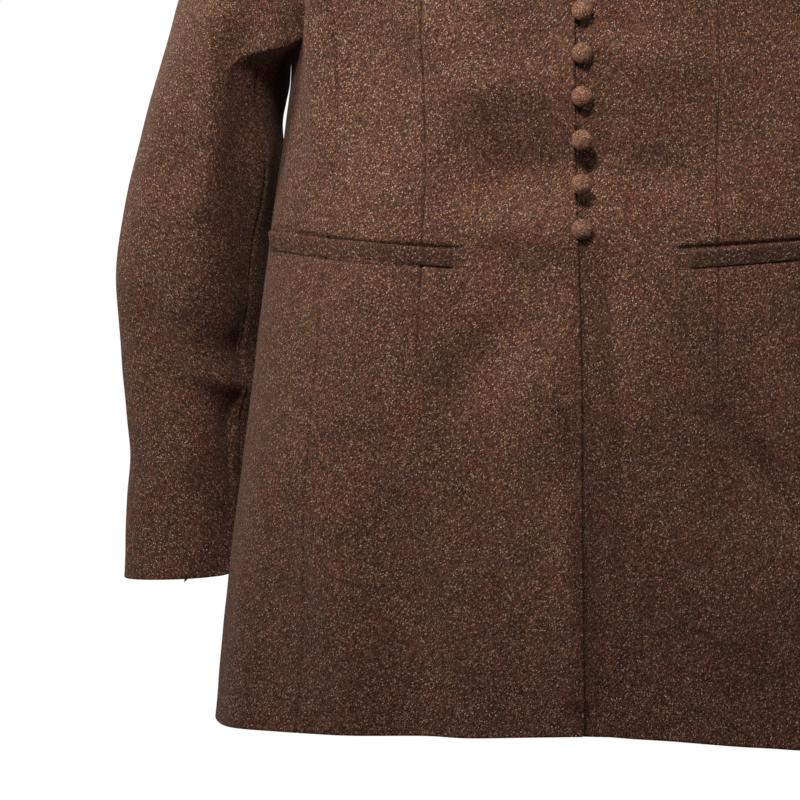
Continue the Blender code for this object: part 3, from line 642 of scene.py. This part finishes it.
def mesh_object(name, vertices, faces, uv, cloth):
    """A closed mesh with faces that point out. vertices are in millimetres in the frame."""
    mesh = bpy.data.meshes.new(name)
    mesh.from_pydata((vertices * MM).tolist(), [], faces)
    if uv is not None:
        layer = mesh.uv_layers.new(name="cloth")
        corners = np.zeros(len(mesh.loops), np.int32)
        mesh.loops.foreach_get("vertex_index", corners)
        layer.data.foreach_set("uv", uv[corners].astype(np.float32).ravel())
    mesh.calc_loop_triangles()
    corners = np.zeros(len(mesh.loop_triangles) * 3, np.int32)
    mesh.loop_triangles.foreach_get("vertices", corners)
    a, b, c = np.moveaxis(vertices[corners.reshape(-1, 3)], 1, 0)
    if np.einsum("ij,ij->", a, np.cross(b, c)) < 0:
        mesh.flip_normals()
    mesh.shade_smooth()
    mesh.materials.append(cloth)
    piece = bpy.data.objects.new(name, mesh)
    bpy.context.scene.collection.objects.link(piece)
    return piece


# Distance from the drawn-in edge, and depth, round a piece's edge: at a fold, and from the corner of a seam inward.
FOLD = tuple((WALL / 2 * math.sin(t), WALL / 2 * (1 - math.cos(t))) for t in np.radians((0, 28, 55, 90, 125, 152, 180)))
SEAM = (
    (0.0, 0.0), (0.20, 0.05), (0.33, 0.18), (0.38, 0.42), (0.38, 1.35), (0.52, 1.65), (0.52, WALL),
)
DRAWN_IN = {FOLD: (WALL / 2, WALL / 2), SEAM: (0.525, 0.005)}  # outer face, inner face


def cloth_shell(name, points, normals, side, edges, cloth, grain):
    """A wall of cloth inward from its outer points. edges are the kinds of the low, high, first and last edge.

    grain is where the piece lies on the cloth, in metres.
    """
    from_edges = lambda a: (a, a[::-1], a.swapaxes(0, 1), a.swapaxes(0, 1)[::-1])
    drawn, (depth, width) = np.zeros(points.shape[:2]), SEAM_TURN
    for turn, place, kind in zip(from_edges(drawn), from_edges(points), edges):
        if kind is SEAM:
            away = np.linalg.norm(place - place[:1], axis=-1)
            np.maximum(turn, depth * np.exp(-((away / width) ** 2)), out=turn)
    points = points - normals * drawn[..., None]
    outer, inner = points.copy(), points - normals * WALL
    for k, face in enumerate((outer, inner)):
        borders = ((face[0], face[1]), (face[-1], face[-2]), (face[:, 0], face[:, 1]), (face[:, -1], face[:, -2]))
        for (line, beside), kind in zip(borders, edges):
            step = beside - line
            length = np.linalg.norm(step, axis=-1, keepdims=True)
            line += step / length * np.minimum(DRAWN_IN[kind][k], 0.8 * length)
    rows, columns = points.shape[:2]
    index = np.arange(rows * columns).reshape(rows, columns)
    border = np.concatenate([index[0], index[1:, -1], index[-1, -2::-1], index[-2:0:-1, 0]])
    apart, profile = np.zeros(points.shape), np.zeros((rows, columns, 5, 2))
    at_edges = (np.s_[0], np.s_[-1], np.s_[:, 0], np.s_[:, -1])
    beside_edges = (np.s_[1], np.s_[-2], np.s_[:, 1], np.s_[:, -2])
    for place, beside, kind in zip(at_edges, beside_edges, edges):
        apart[place] += unit(outer[place] - outer[beside])
        profile[place] = np.maximum(profile[place], kind[1:-1])
    apart, flat_outer = (a.reshape(-1, 3)[border] for a in (apart, outer))
    profile = profile.reshape(-1, 5, 2)[border]
    down = normals.reshape(-1, 3)[border]
    apart = unit(apart - down * np.einsum("ij,ij->i", apart, down)[:, None])
    rims = [flat_outer + apart * profile[:, k, :1] - down * profile[:, k, 1:] for k in range(5)]
    vertices = np.concatenate([outer.reshape(-1, 3), inner.reshape(-1, 3), *rims]) * np.array([side, 1, 1])
    count, ring_size = rows * columns, len(border)
    a, b, c, d = index[:-1, :-1], index[:-1, 1:], index[1:, 1:], index[1:, :-1]
    faces = np.stack([a, b, c, d], -1).reshape(-1, 4)
    faces = [faces, faces[:, ::-1] + count]
    tracks = [border] + [2 * count + k * ring_size + np.arange(ring_size) for k in range(5)] + [border + count]
    for low, high in zip(tracks, tracks[1:]):
        faces.append(np.stack([low, high, np.roll(high, -1), np.roll(low, -1)], -1))
    uv = cloth_uv(points).reshape(-1, 2) * np.array([side, 1]) + grain
    uv = np.concatenate([uv, uv] + [uv[border]] * 5)
    return mesh_object(name, vertices, np.concatenate(faces).tolist(), uv, cloth)


def linear(code):
    """An sRGB hex colour as linear red, green, blue and alpha."""
    parts = [int(code[k : k + 2], 16) / 255 for k in (1, 3, 5)]
    return (*(p / 12.92 if p <= 0.04045 else ((p + 0.055) / 1.055) ** 2.4 for p in parts), 1.0)


def add(tree, kind, inputs=None, **settings):
    """One node with its settings, and its inputs as values or links."""
    made = tree.nodes.new(kind)
    for name, value in settings.items():
        setattr(made, name, value)
    for name, value in (inputs or {}).items():
        if isinstance(value, bpy.types.NodeSocket):
            tree.links.new(value, made.inputs[name])
        else:
            made.inputs[name].default_value = value
    return made


def colour_stops(node, stops):
    """Sets a Color Ramp's stops from (place, hex)."""
    elements = node.color_ramp.elements
    while len(elements) < len(stops):
        elements.new(0.5)
    for element, (place, code) in zip(elements, stops):
        element.position = place
        element.color = linear(code)


# The yarn's shades from dark to light. The balls' copy is lighter, painted light for balls that face the lamps; the
# welts' and the rouleau loops' copies are darker, painted shade.
YARN = ("#261811", "#3B271E", "#54392D", "#6D4B3A", "#84604B", "#A07C64")
YARN_WELT_PAINTED_SHADE = ("#231610", "#36241B", "#4C3328", "#634434", "#785744", "#94725C")
YARN_BALL_PAINTED_LIGHT = ("#38251B", "#553A2C", "#775240", "#8C6450", "#A17A62", "#BA977F")
YARN_LOOP_PAINTED_SHADE = ("#20140E", "#332119", "#4A3228", "#604233", "#765543", "#8E6C56")


def tweed(name, yarn=YARN, by_uv=True, sheen=0.06):
    """Woollen tweed, woven from flecked woollen yarn and lightly brushed.

    It gives the eye a warm brown that changes thread by thread, with cream, pink and near-black flecks 0.6 mm
    wide and 1 mm long that lean like the twill, faint reddish and greenish areas, and a dry, slightly furry surface.
    """
    made = bpy.data.materials.new(name)
    made.use_nodes = True
    tree = made.node_tree
    shader = tree.nodes["Principled BSDF"]
    if by_uv:
        place = add(tree, "ShaderNodeUVMap", uv_map="cloth").outputs["UV"]
    else:
        place = add(tree, "ShaderNodeTexCoord").outputs["Object"]
    size = "2D" if by_uv else "3D"
    # Threads and flecks are 1.8 times as long as they are wide, leaning 38 degrees to the right.
    leaning = {"Vector": place, "Rotation": (0, 0, math.radians(-38)), "Scale": (1.0, 1.8, 1.0)}
    warp = add(tree, "ShaderNodeMapping", leaning, vector_type="TEXTURE").outputs["Vector"]
    # Each crossing of two threads, 0.4 mm wide, has a shade and a hue of its own.
    cells = {"Vector": warp, "Scale": 2450.0, "Randomness": 0.9}
    crossing = add(tree, "ShaderNodeTexVoronoi", cells, voronoi_dimensions=size)
    dye = add(tree, "ShaderNodeSeparateColor", {"Color": crossing.outputs["Color"]})
    ground = add(tree, "ShaderNodeValToRGB", {"Fac": dye.outputs["Red"]})
    colour_stops(ground, tuple(zip((0.0, 0.2, 0.5, 0.8, 0.94, 1.0), yarn)))
    hue = add(tree, "ShaderNodeValToRGB", {"Fac": dye.outputs["Green"]})
    colour_stops(hue, ((0.0, "#FFF6DC"), (0.35, "#FFFFFF"), (0.7, "#FFF0EC"), (1.0, "#F6ECFF")))
    dyeing = {"data_type": "RGBA", "blend_type": "MULTIPLY"}
    colours = {0: 1.0, 6: ground.outputs["Color"], 7: hue.outputs["Color"]}
    colour = add(tree, "ShaderNodeMix", colours, **dyeing).outputs[2]
    # The dye varies over 25 mm, a little redder and a little greener.
    cloudy = add(tree, "ShaderNodeTexNoise", {"Vector": place, "Scale": 42.0, "Detail": 2.0}, noise_dimensions=size)
    tint = add(tree, "ShaderNodeValToRGB", {"Fac": cloudy.outputs["Fac"]})
    colour_stops(tint, ((0.32, "#F1F6EA"), (0.50, "#FFFFFF"), (0.68, "#FFF3EF")))
    colour = add(tree, "ShaderNodeMix", {0: 1.0, 6: colour, 7: tint.outputs["Color"]}, **dyeing).outputs[2]
    height = crossing.outputs["Distance"]
    grow = 1.0 if by_uv else 1.3  # a fleck on a ball is a cut through a solid one
    flecks = (  # cells a metre, radius in cells, share of cells with a fleck, strength, colours
        (1150.0, 0.36, 0.11, 0.70, ((0.0, "#1B110E"), (0.6, "#2A1B16"), (1.0, "#221A1A"))),
        (1300.0, 0.38, 0.13, 0.88, ((0.0, "#A8826A"), (0.45, "#CDAE94"), (0.75, "#B98675"), (1.0, "#E8D4BE"))),
    )
    for k, (cells, radius, part, strength, stops) in enumerate(flecks):
        moved = {"Vector": warp, "Location": (0.37 * (k + 1), 0.11 * (k + 1), 0.07 * k)}
        moved = add(tree, "ShaderNodeMapping", moved).outputs["Vector"]
        spots = {"Vector": moved, "Scale": cells, "Randomness": 1.0}
        cell = add(tree, "ShaderNodeTexVoronoi", spots, voronoi_dimensions=size)
        within = {"Value": cell.outputs["Distance"], "From Min": radius * grow, "From Max": radius * grow * 0.6}
        edge = add(tree, "ShaderNodeMapRange", within, interpolation_type="SMOOTHSTEP")
        pick = add(tree, "ShaderNodeSeparateColor", {"Color": cell.outputs["Color"]})
        chosen = add(tree, "ShaderNodeMath", {0: pick.outputs["Red"], 1: part * grow}, operation="LESS_THAN")
        mask = edge.outputs["Result"]
        for factor in (chosen.outputs["Value"], strength):
            mask = add(tree, "ShaderNodeMath", {0: mask, 1: factor}, operation="MULTIPLY").outputs["Value"]
        dyed = add(tree, "ShaderNodeValToRGB", {"Fac": pick.outputs["Green"]})
        colour_stops(dyed, stops)
        colour = add(tree, "ShaderNodeMix", {0: mask, 6: colour, 7: dyed.outputs["Color"]}, data_type="RGBA").outputs[2]
        proud = {0: mask, 1: 0.5 if k == 0 else -0.6, 2: height}
        height = add(tree, "ShaderNodeMath", proud, operation="MULTIPLY_ADD").outputs["Value"]
    # Threads stand 0.15 mm proud between their crossings' edges.
    bump = add(tree, "ShaderNodeBump", {"Height": height, "Strength": 0.6, "Distance": 0.00025}, invert=True)
    tree.links.new(colour, shader.inputs["Base Color"])
    tree.links.new(bump.outputs["Normal"], shader.inputs["Normal"])
    for socket, value in (  # wool's IOR is 1.54
        ("Roughness", 0.92), ("Metallic", 0.0), ("IOR", 1.54), ("Specular IOR Level", 0.2),
        ("Sheen Weight", sheen), ("Sheen Roughness", 0.4), ("Sheen Tint", linear("#E0BFA8")),
    ):
        shader.inputs[socket].default_value = value
    return made


def plain(name, code, roughness):
    """A material of one colour."""
    made = bpy.data.materials.new(name)
    made.use_nodes = True
    shader = made.node_tree.nodes["Principled BSDF"]
    shader.inputs["Base Color"].default_value = linear(code)
    shader.inputs["Roughness"].default_value = roughness
    return made


def thread(name):
    """Spun polyester sewing thread: dark brown, with twists about every 1 mm whose catch of a little light is painted
    in as lighter bands: painted highlight.
    """
    made = plain(name, "#33231D", 0.6)
    tree = made.node_tree
    place = add(tree, "ShaderNodeTexCoord").outputs["Object"]
    bands = {"Vector": place, "Scale": 520.0, "Distortion": 1.5}
    # Lighter and darker bands along the thread: painted highlight on its twists.
    painted_twist_highlight = add(tree, "ShaderNodeTexWave", bands, bands_direction="DIAGONAL")
    colour = add(tree, "ShaderNodeValToRGB", {"Fac": painted_twist_highlight.outputs["Fac"]})
    colour_stops(colour, ((0.2, "#1F1512"), (0.8, "#4A352C")))
    tree.links.new(colour.outputs["Color"], tree.nodes["Principled BSDF"].inputs["Base Color"])
    return made


def geometry_tree(name, inputs):
    """An empty tree with a Geometry input and output and these named inputs."""
    tree = bpy.data.node_groups.new(name, "GeometryNodeTree")
    tree.interface.new_socket("Geometry", in_out="INPUT", socket_type="NodeSocketGeometry")
    for socket, kind in inputs:
        tree.interface.new_socket(socket, in_out="INPUT", socket_type=kind)
    tree.interface.new_socket("Geometry", in_out="OUTPUT", socket_type="NodeSocketGeometry")
    return tree, tree.nodes.new("NodeGroupInput").outputs


def end_tree(tree, geometry, cloth):
    """The tree's last nodes: one real, smooth mesh in its material."""
    real = add(tree, "GeometryNodeRealizeInstances", {"Geometry": geometry})
    soft = add(tree, "GeometryNodeSetShadeSmooth", {"Geometry": real.outputs[0]})
    dyed = add(tree, "GeometryNodeSetMaterial", {"Geometry": soft.outputs[0], "Material": cloth})
    tree.links.new(dyed.outputs[0], add(tree, "NodeGroupOutput").inputs[0])
    return tree


def rouleau_tree():
    """A narrow tube of cloth along a path."""
    sizes = (("Radius", "NodeSocketFloat"), ("Cloth", "NodeSocketMaterial"))
    tree, given = geometry_tree("Rouleau along a path", sizes)
    path = add(tree, "GeometryNodeMeshToCurve", {"Mesh": given["Geometry"]})
    circle = add(tree, "GeometryNodeCurvePrimitiveCircle", {"Resolution": 12, "Radius": given["Radius"]})
    swept = {"Curve": path.outputs[0], "Profile Curve": circle.outputs[0], "Fill Caps": True}
    tube = add(tree, "GeometryNodeCurveToMesh", swept)
    return end_tree(tree, tube.outputs[0], given["Cloth"])


def stitch_tree():
    """Short stitches of thread, one after another along a path."""
    sizes = tuple((size, "NodeSocketFloat") for size in ("Pitch", "Stitch length", "Thread radius"))
    sizes += (("Seed", "NodeSocketInt"), ("Thread", "NodeSocketMaterial"))
    tree, given = geometry_tree("Stitches along a path", sizes)
    path = add(tree, "GeometryNodeMeshToCurve", {"Mesh": given["Geometry"]})
    points = add(tree, "GeometryNodeCurveToPoints", {"Curve": path.outputs[0], "Length": given["Pitch"]}, mode="LENGTH")
    stitch = add(tree, "GeometryNodeMeshUVSphere", {"Segments": 8, "Rings": 6, "Radius": 0.5})
    width = add(tree, "ShaderNodeMath", {0: given["Thread radius"], 1: 2.0}, operation="MULTIPLY").outputs[0]
    shortest, longest = 0.85, 1.12
    uneven = {2: shortest, 3: longest, "Seed": given["Seed"]}
    uneven = add(tree, "FunctionNodeRandomValue", uneven, data_type="FLOAT").outputs[1]
    length = add(tree, "ShaderNodeMath", {0: given["Stitch length"], 1: uneven}, operation="MULTIPLY").outputs[0]
    size = add(tree, "ShaderNodeCombineXYZ", {"X": width, "Y": width, "Z": length})
    placed = {"Points": points.outputs["Points"], "Rotation": points.outputs["Rotation"]}
    placed.update({"Instance": stitch.outputs[0], "Scale": size.outputs[0]})
    return end_tree(tree, add(tree, "GeometryNodeInstanceOnPoints", placed).outputs[0], given["Thread"])


def along_path(name, points, tree, values):
    """A piece that a tree makes along a path of points, as a plain mesh."""
    mesh = bpy.data.meshes.new(name)
    mesh.from_pydata((np.array(points) * MM).tolist(), [(k, k + 1) for k in range(len(points) - 1)], [])
    piece = bpy.data.objects.new(name, mesh)
    bpy.context.scene.collection.objects.link(piece)
    modifier = piece.modifiers.new("Shape", "NODES")
    modifier.node_group = tree
    for item in tree.interface.items_tree:
        if item.in_out == "INPUT" and item.name in values:
            modifier[item.identifier] = values[item.name]
    shape = piece.evaluated_get(bpy.context.evaluated_depsgraph_get())
    shape = bpy.data.meshes.new_from_object(shape)
    piece.modifiers.clear()
    piece.data = shape
    return piece


def ball_mesh(name, base, out, cloth, number):
    """A ball covered in cloth, gathered behind round its shank, standing on the cloth at base."""
    across = np.cross([0.0, 0, 1], out)
    across /= np.linalg.norm(across)
    up = np.cross(out, across)
    lowest = math.asin(SHANK / BALL)
    sides, steps = 48, 26
    profile = [(SHANK * 1.1, 0.1), (SHANK, 0.8)]
    for k in range(steps):
        turn = lowest + (math.pi - 0.06 - lowest) * k / (steps - 1)
        profile.append((BALL * math.sin(turn), STAND - BALL * math.cos(turn)))
    vertices, spin = [], 2.4 * number
    for j, (radius, height) in enumerate(profile):
        behind = ramp((STAND + 1.0 - height) / BALL)
        for k in range(sides):
            turn = 2 * math.pi * k / sides
            gather = 1 + 0.045 * behind * math.cos(11 * turn + spin) * (j > 1)
            gather += 0.012 * math.sin(2 * turn + spin) + 0.008 * math.sin(3 * turn - height + number)
            r = radius * gather
            vertices.append(base + out * height + r * (math.cos(turn) * across + math.sin(turn) * up))
    vertices += [base + out * (STAND + BALL - 0.05), base + out * 0.1]
    top, low = len(vertices) - 2, len(vertices) - 1
    faces = []
    for j in range(len(profile) - 1):
        for k in range(sides):
            a, b = j * sides + k, j * sides + (k + 1) % sides
            faces.append((a, b, b + sides, a + sides))
    last = (len(profile) - 1) * sides
    for k in range(sides):
        faces.append((last + k, last + (k + 1) % sides, top))
        faces.append(((k + 1) % sides, k, low))
    return mesh_object(name, np.array(vertices), faces, None, cloth)


def button_places():
    """Where each button stands on the left front, and its outward direction, from the lowest up."""
    heights = np.array((HEM,) + BUTTON_ROWS, float)
    rows = np.concatenate([(heights - HEM) / (CHEST - HEM), 1 + np.arange(1, YOKE_ROWS + 1) / YOKE_ROWS])
    z, body = row_heights(rows), len(heights)
    line, outs = (a[:, 0] for a in front_points(1, near_share(BUTTON_X + 0 * z, z, rows)[:, None], rows))
    low = np.array([np.interp(BUTTON_LOW, line[:body, 2], line[:body, k]) for k in range(3)])
    row = int(np.searchsorted(line[:body, 2], BUTTON_LOW))
    below = np.linalg.norm(np.diff(line[:row], axis=0), axis=1).sum() + np.linalg.norm(low - line[row - 1])
    at = np.concatenate([[0], np.cumsum(np.linalg.norm(np.diff(line, axis=0), axis=1))])
    places = []
    for travelled in np.cumsum((below,) + BUTTON_PITCHES):
        base = np.array([np.interp(travelled, at, line[:, n]) for n in range(3)])
        out = np.array([np.interp(travelled, at, outs[:, n]) for n in range(3)])
        places.append((base, out / np.linalg.norm(out)))
    return places


def loop_path(base, out):
    """From the right front's edge round the shank and back to the edge."""
    up = np.cross(np.cross(out, [0, 0, 1.0]), out)
    up /= np.linalg.norm(up)
    across = np.cross(up, out)
    across *= np.sign(across[0])
    edge = smooth(EDGE, np.clip(base[2], LOWEST, CHEST))[0] + GAP + 0.25
    turns = [math.radians(t) for t in range(-90, 91, 12)]
    path = [(LOOP_BEND * math.cos(t), LOOP_BEND * math.sin(t)) for t in turns]
    path = [(edge - base[0], -LOOP_BEND)] + path + [(edge - base[0], LOOP_BEND)]
    return [base + out * LOOP_STAND + across * a + up * b for a, b in path]


WELT_PROFILE = (  # share of the way up, stand-off: up the front of the strip, over its fold and down behind it
    (-0.02, -0.5), (0.0, 0.0), (0.02, 0.4), (0.06, 0.7), (0.3, 1.5), (0.55, 2.35), (0.76, 3.1), (0.87, 3.4),
    (0.93, 3.25), (0.98, 2.7), (1.0, 1.9), (0.99, 1.1), (0.9, 0.6), (0.6, 0.2), (0.3, 0.0), (0.1, -0.2),
)


def welt_piece(name, side, cloth):
    """A folded strip on the front and side panels: seamed below, open above."""
    first, last = WELT[0][0], WELT[-1][0]
    span = (last - first) * math.radians(WELT_RADIUS)
    shares = lines(span, low=(0.4, 0.8, 1.4, 2.4), high=(0.4, 0.8, 1.4, 2.4))
    angles = first + (last - first) * shares
    tall = np.array(WELT_PROFILE)
    rows = []
    for up, stand in tall:
        upper, lower = smooth(WELT, angles)
        z = lower + (upper - lower) * up
        place = ring(side, angles, z)
        across = ring(side, angles + 0.1, z) - ring(side, angles - 0.1, z)
        rise = ring(side, angles, z + 0.2) - ring(side, angles, z - 0.2)
        normal = unit(np.cross(across, rise))
        ends = np.minimum(shares, 1 - shares) * span
        drawn = ramp((ends + 0.5) / 2.0)
        off = (stand + 0.5) * drawn - 0.5 + 0.12 * np.sin(angles * 0.9) * (up > 0.5)
        rows.append(dressed(place, normal, side) + normal * off[:, None])
    points = np.array(rows)
    count, columns = points.shape[:2]
    faces = []
    for j in range(count):
        for i in range(columns - 1):
            a, b = j * columns + i, j * columns + i + 1
            c, d = ((j + 1) % count) * columns + i + 1, ((j + 1) % count) * columns + i
            faces.append((a, b, c, d))
    for i, order in ((0, 1), (columns - 1, -1)):
        faces.append(tuple(j * columns + i for j in range(count))[::order])
    flat = points[4], tall * np.array([WELT_TALL, 1.0])
    across, up = (np.concatenate([[0], np.cumsum(np.linalg.norm(np.diff(a, axis=0), axis=1))]) for a in flat)
    uv = np.stack(np.meshgrid(across, up), -1).reshape(-1, 2) * MM + np.array([0.4, 0.2])
    return mesh_object(name, points.reshape(-1, 3) * np.array([side, 1, 1]), faces, uv, cloth)


def welt_end(side):
    """The line of stitches that closes a welt's inner end."""
    angle = WELT[0][0] + 0.25
    upper, lower = smooth(WELT, angle)
    z = np.linspace(lower + 0.5, upper - 0.4, 12)
    angles = np.full(12, angle)
    place = ring(side, angles, z)
    normal = np.array([math.sin(math.radians(angle)), -math.cos(math.radians(angle)), 0])
    return (dressed(place, np.tile(normal, (12, 1)), side) + normal * 0.35) * np.array([side, 1, 1])


SIDES = ((-1, "right"), (1, "left"))
GRAIN = {  # where each piece is cut from the cloth, in metres across and up
    "front": (0.1, 0.0), "back": (0.7, 0.3), "side": (1.3, 0.6), "sleeve_top": (1.9, 0.9), "sleeve_under": (2.5, 1.2),
}
EDGES = {"front": (FOLD, SEAM, FOLD, SEAM)}  # the low, high, first and last edge; the other pieces are alike
FOLDED_HEM = (FOLD, SEAM, SEAM, SEAM)


def build():
    """Every piece by its node's name."""
    words = (("front", "fronts"), ("side", "side panels"), ("back", "backs"), ("sleeve", "sleeves"))
    cloth = {kind: tweed(f"Woollen tweed of the {plural}") for kind, plural in words}
    # The welts' tweed is a darker copy of the yarn: painted shade for a strip that leans to face down.
    cloth["welt"] = tweed("Woollen tweed of the pocket welts, with painted shade", YARN_WELT_PAINTED_SHADE)
    # The balls' tweed is a lighter copy of the yarn: painted light for balls that face the lamps.
    cloth["ball"] = tweed("Woollen tweed over the ball buttons, with painted light", YARN_BALL_PAINTED_LIGHT, by_uv=False, sheen=0.1)
    # The loops' tweed is a darker copy of the yarn: painted shade for loops in the gap under the balls.
    cloth["loop"] = tweed("Woollen tweed rouleau, with painted shade", YARN_LOOP_PAINTED_SHADE, by_uv=False)
    sewing = thread("Spun sewing thread")
    pieces = {}
    for side, word in SIDES:
        points, normals = sleeve_points(side)
        count = points.shape[1]
        first, last = (FINER * k for k in TOP_SLEEVE)
        top = [k % count for k in range(first, last + 1)]
        under = [k % count for k in range(last, first + count + 1)]
        lower = points[:, under].copy()
        apart = np.linalg.norm(lower[0] - lower[0, -1], axis=-1)
        rise = np.linalg.norm(lower - lower[:1], axis=-1)
        lower[..., 2] -= CUFF_DROP * np.clip(1 - apart / 8, 0, 1) * np.clip(1 - rise / 9, 0, 1)
        cut = {"front": front_cloth(side), "back": back_cloth(side), "side": side_cloth(side)}
        cut["sleeve_top"] = points[:, top], normals[:, top]
        cut["sleeve_under"] = lower, normals[:, under]
        for kind, (outer, outs) in cut.items():
            edges, grain = EDGES.get(kind, FOLDED_HEM), np.array(GRAIN[kind]) * (side, 1)
            name, stuff = f"cloth_{kind}_{word}", cloth[kind.split("_")[0]]
            pieces[f"{kind}_{word}"] = cloth_shell(name, outer, outs, side, edges, stuff, grain)
        pieces[f"welt_{word}"] = welt_piece(f"pocket_welt_{word}", side, cloth["welt"])
    rouleau, stitches = rouleau_tree(), stitch_tree()
    for side, word in SIDES:
        sizes = {"Pitch": 1.5 * MM, "Stitch length": 1.3 * MM, "Thread radius": 0.2 * MM, "Seed": 3 + side}
        sizes["Thread"] = sewing
        tack = along_path(f"welt_stitches_{word}", welt_end(side), stitches, sizes)
        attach(tack, "root")
    for k, (base, out) in enumerate(button_places()):
        number = f"{k + 1:02d}"
        pieces[f"button_{number}"] = ball_mesh(f"covered_button_{number}", base, out, cloth["ball"], k)
        values = {"Radius": LOOP_THICK * MM, "Cloth": cloth["loop"]}
        pieces[f"loop_{number}"] = along_path(f"rouleau_loop_{number}", loop_path(base, out), rouleau, values)
    return pieces


pieces = build()
for node, piece in pieces.items():
    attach(piece, "root")
    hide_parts(node)


def studio():
    """A plain pale floor, an even white surround and five soft lamps.

    The key stands in front, above and a little to the viewer's left. The others fill from above, from both sides
    and from behind on the viewer's left.
    """
    mesh = bpy.data.meshes.new("floor")
    size, low = 4.0, -1.5
    corners = [(-size, -size, low), (size, -size, low), (size, size, low), (-size, size, low)]
    mesh.from_pydata(corners, [], [(0, 1, 2, 3)])
    mesh.materials.append(plain("Matt white studio floor", "#F4F4F4", 0.9))
    floor = bpy.data.objects.new("studio_floor", mesh)
    bpy.context.scene.collection.objects.link(floor)

    world = bpy.data.worlds.new("White surround")
    world.use_nodes = True
    tree = world.node_tree
    tree.nodes.clear()
    seen = add(tree, "ShaderNodeBackground", {"Color": (1, 1, 1, 1), "Strength": 1.0})
    lighting = add(tree, "ShaderNodeBackground", {"Color": (1, 1, 1, 1), "Strength": SURROUND})
    ray = add(tree, "ShaderNodeLightPath")
    either = {0: ray.outputs["Is Camera Ray"], 1: lighting.outputs[0], 2: seen.outputs[0]}
    add(tree, "ShaderNodeOutputWorld", {"Surface": add(tree, "ShaderNodeMixShader", either).outputs[0]})
    bpy.context.scene.world = world

    for name, place, aim, size, spread, power in LIGHTS:
        lamp = bpy.data.lights.new(name, "AREA")
        lamp.shape, lamp.size, lamp.spread, lamp.energy = "DISK", size, math.radians(spread), power
        light = bpy.data.objects.new(name, lamp)
        light.location = place
        light.rotation_euler = (Vector(aim) - Vector(place)).to_track_quat("-Z", "Y").to_euler()
        bpy.context.scene.collection.objects.link(light)


SURROUND = 0.085  # how strongly the surround lights the jacket
LIGHTS = (  # name, place, aim in metres, size, spread in degrees, watts
    ("key_softbox", (-0.24, -1.42, 0.52), (-0.05, -0.1, -0.06), 0.30, 52, 2.7),
    ("top_softbox", (-0.2, -0.9, 1.5), (-0.05, -0.1, -0.2), 0.8, 70, 1.2),
    ("right_softbox", (1.3, -1.2, 0.6), (0.05, 0.0, -0.22), 0.5, 70, 0.8),
    ("left_softbox", (-1.9, -0.50, 0.15), (-0.24, 0.0, -0.14), 0.6, 44, 2.0),
    ("rim_softbox", (-1.3, 1.2, 0.2), (-0.1, 0.0, -0.5), 0.8, 150, 5.0),
)
PHOTO_WIDTH, FOCAL_PIXELS = 800, 6445.7
MIDDLE_X, MIDDLE_Y = 572, 33  # the pixel of the photograph that is level with the camera and straight ahead
CAMERA_PLACE = (0.0, -3.622, -0.3445)


def camera():
    """The photograph's view: level with the waist, 3.6 m in front, turned down and to the wearer's right."""
    lens = bpy.data.cameras.new("camera")
    lens.sensor_width = 36.0
    lens.lens = lens.sensor_width * FOCAL_PIXELS / PHOTO_WIDTH
    seen_from = bpy.data.objects.new("camera", lens)
    seen_from.location = CAMERA_PLACE
    aim = Vector(((PHOTO_WIDTH / 2 - MIDDLE_X) / FOCAL_PIXELS, 1.0, -(PHOTO_WIDTH / 2 - MIDDLE_Y) / FOCAL_PIXELS))
    seen_from.rotation_euler = aim.to_track_quat("-Z", "Y").to_euler()
    bpy.context.scene.collection.objects.link(seen_from)
    bpy.context.scene.camera = seen_from


studio()
camera()
bpy.context.scene.view_settings.view_transform = "Standard"
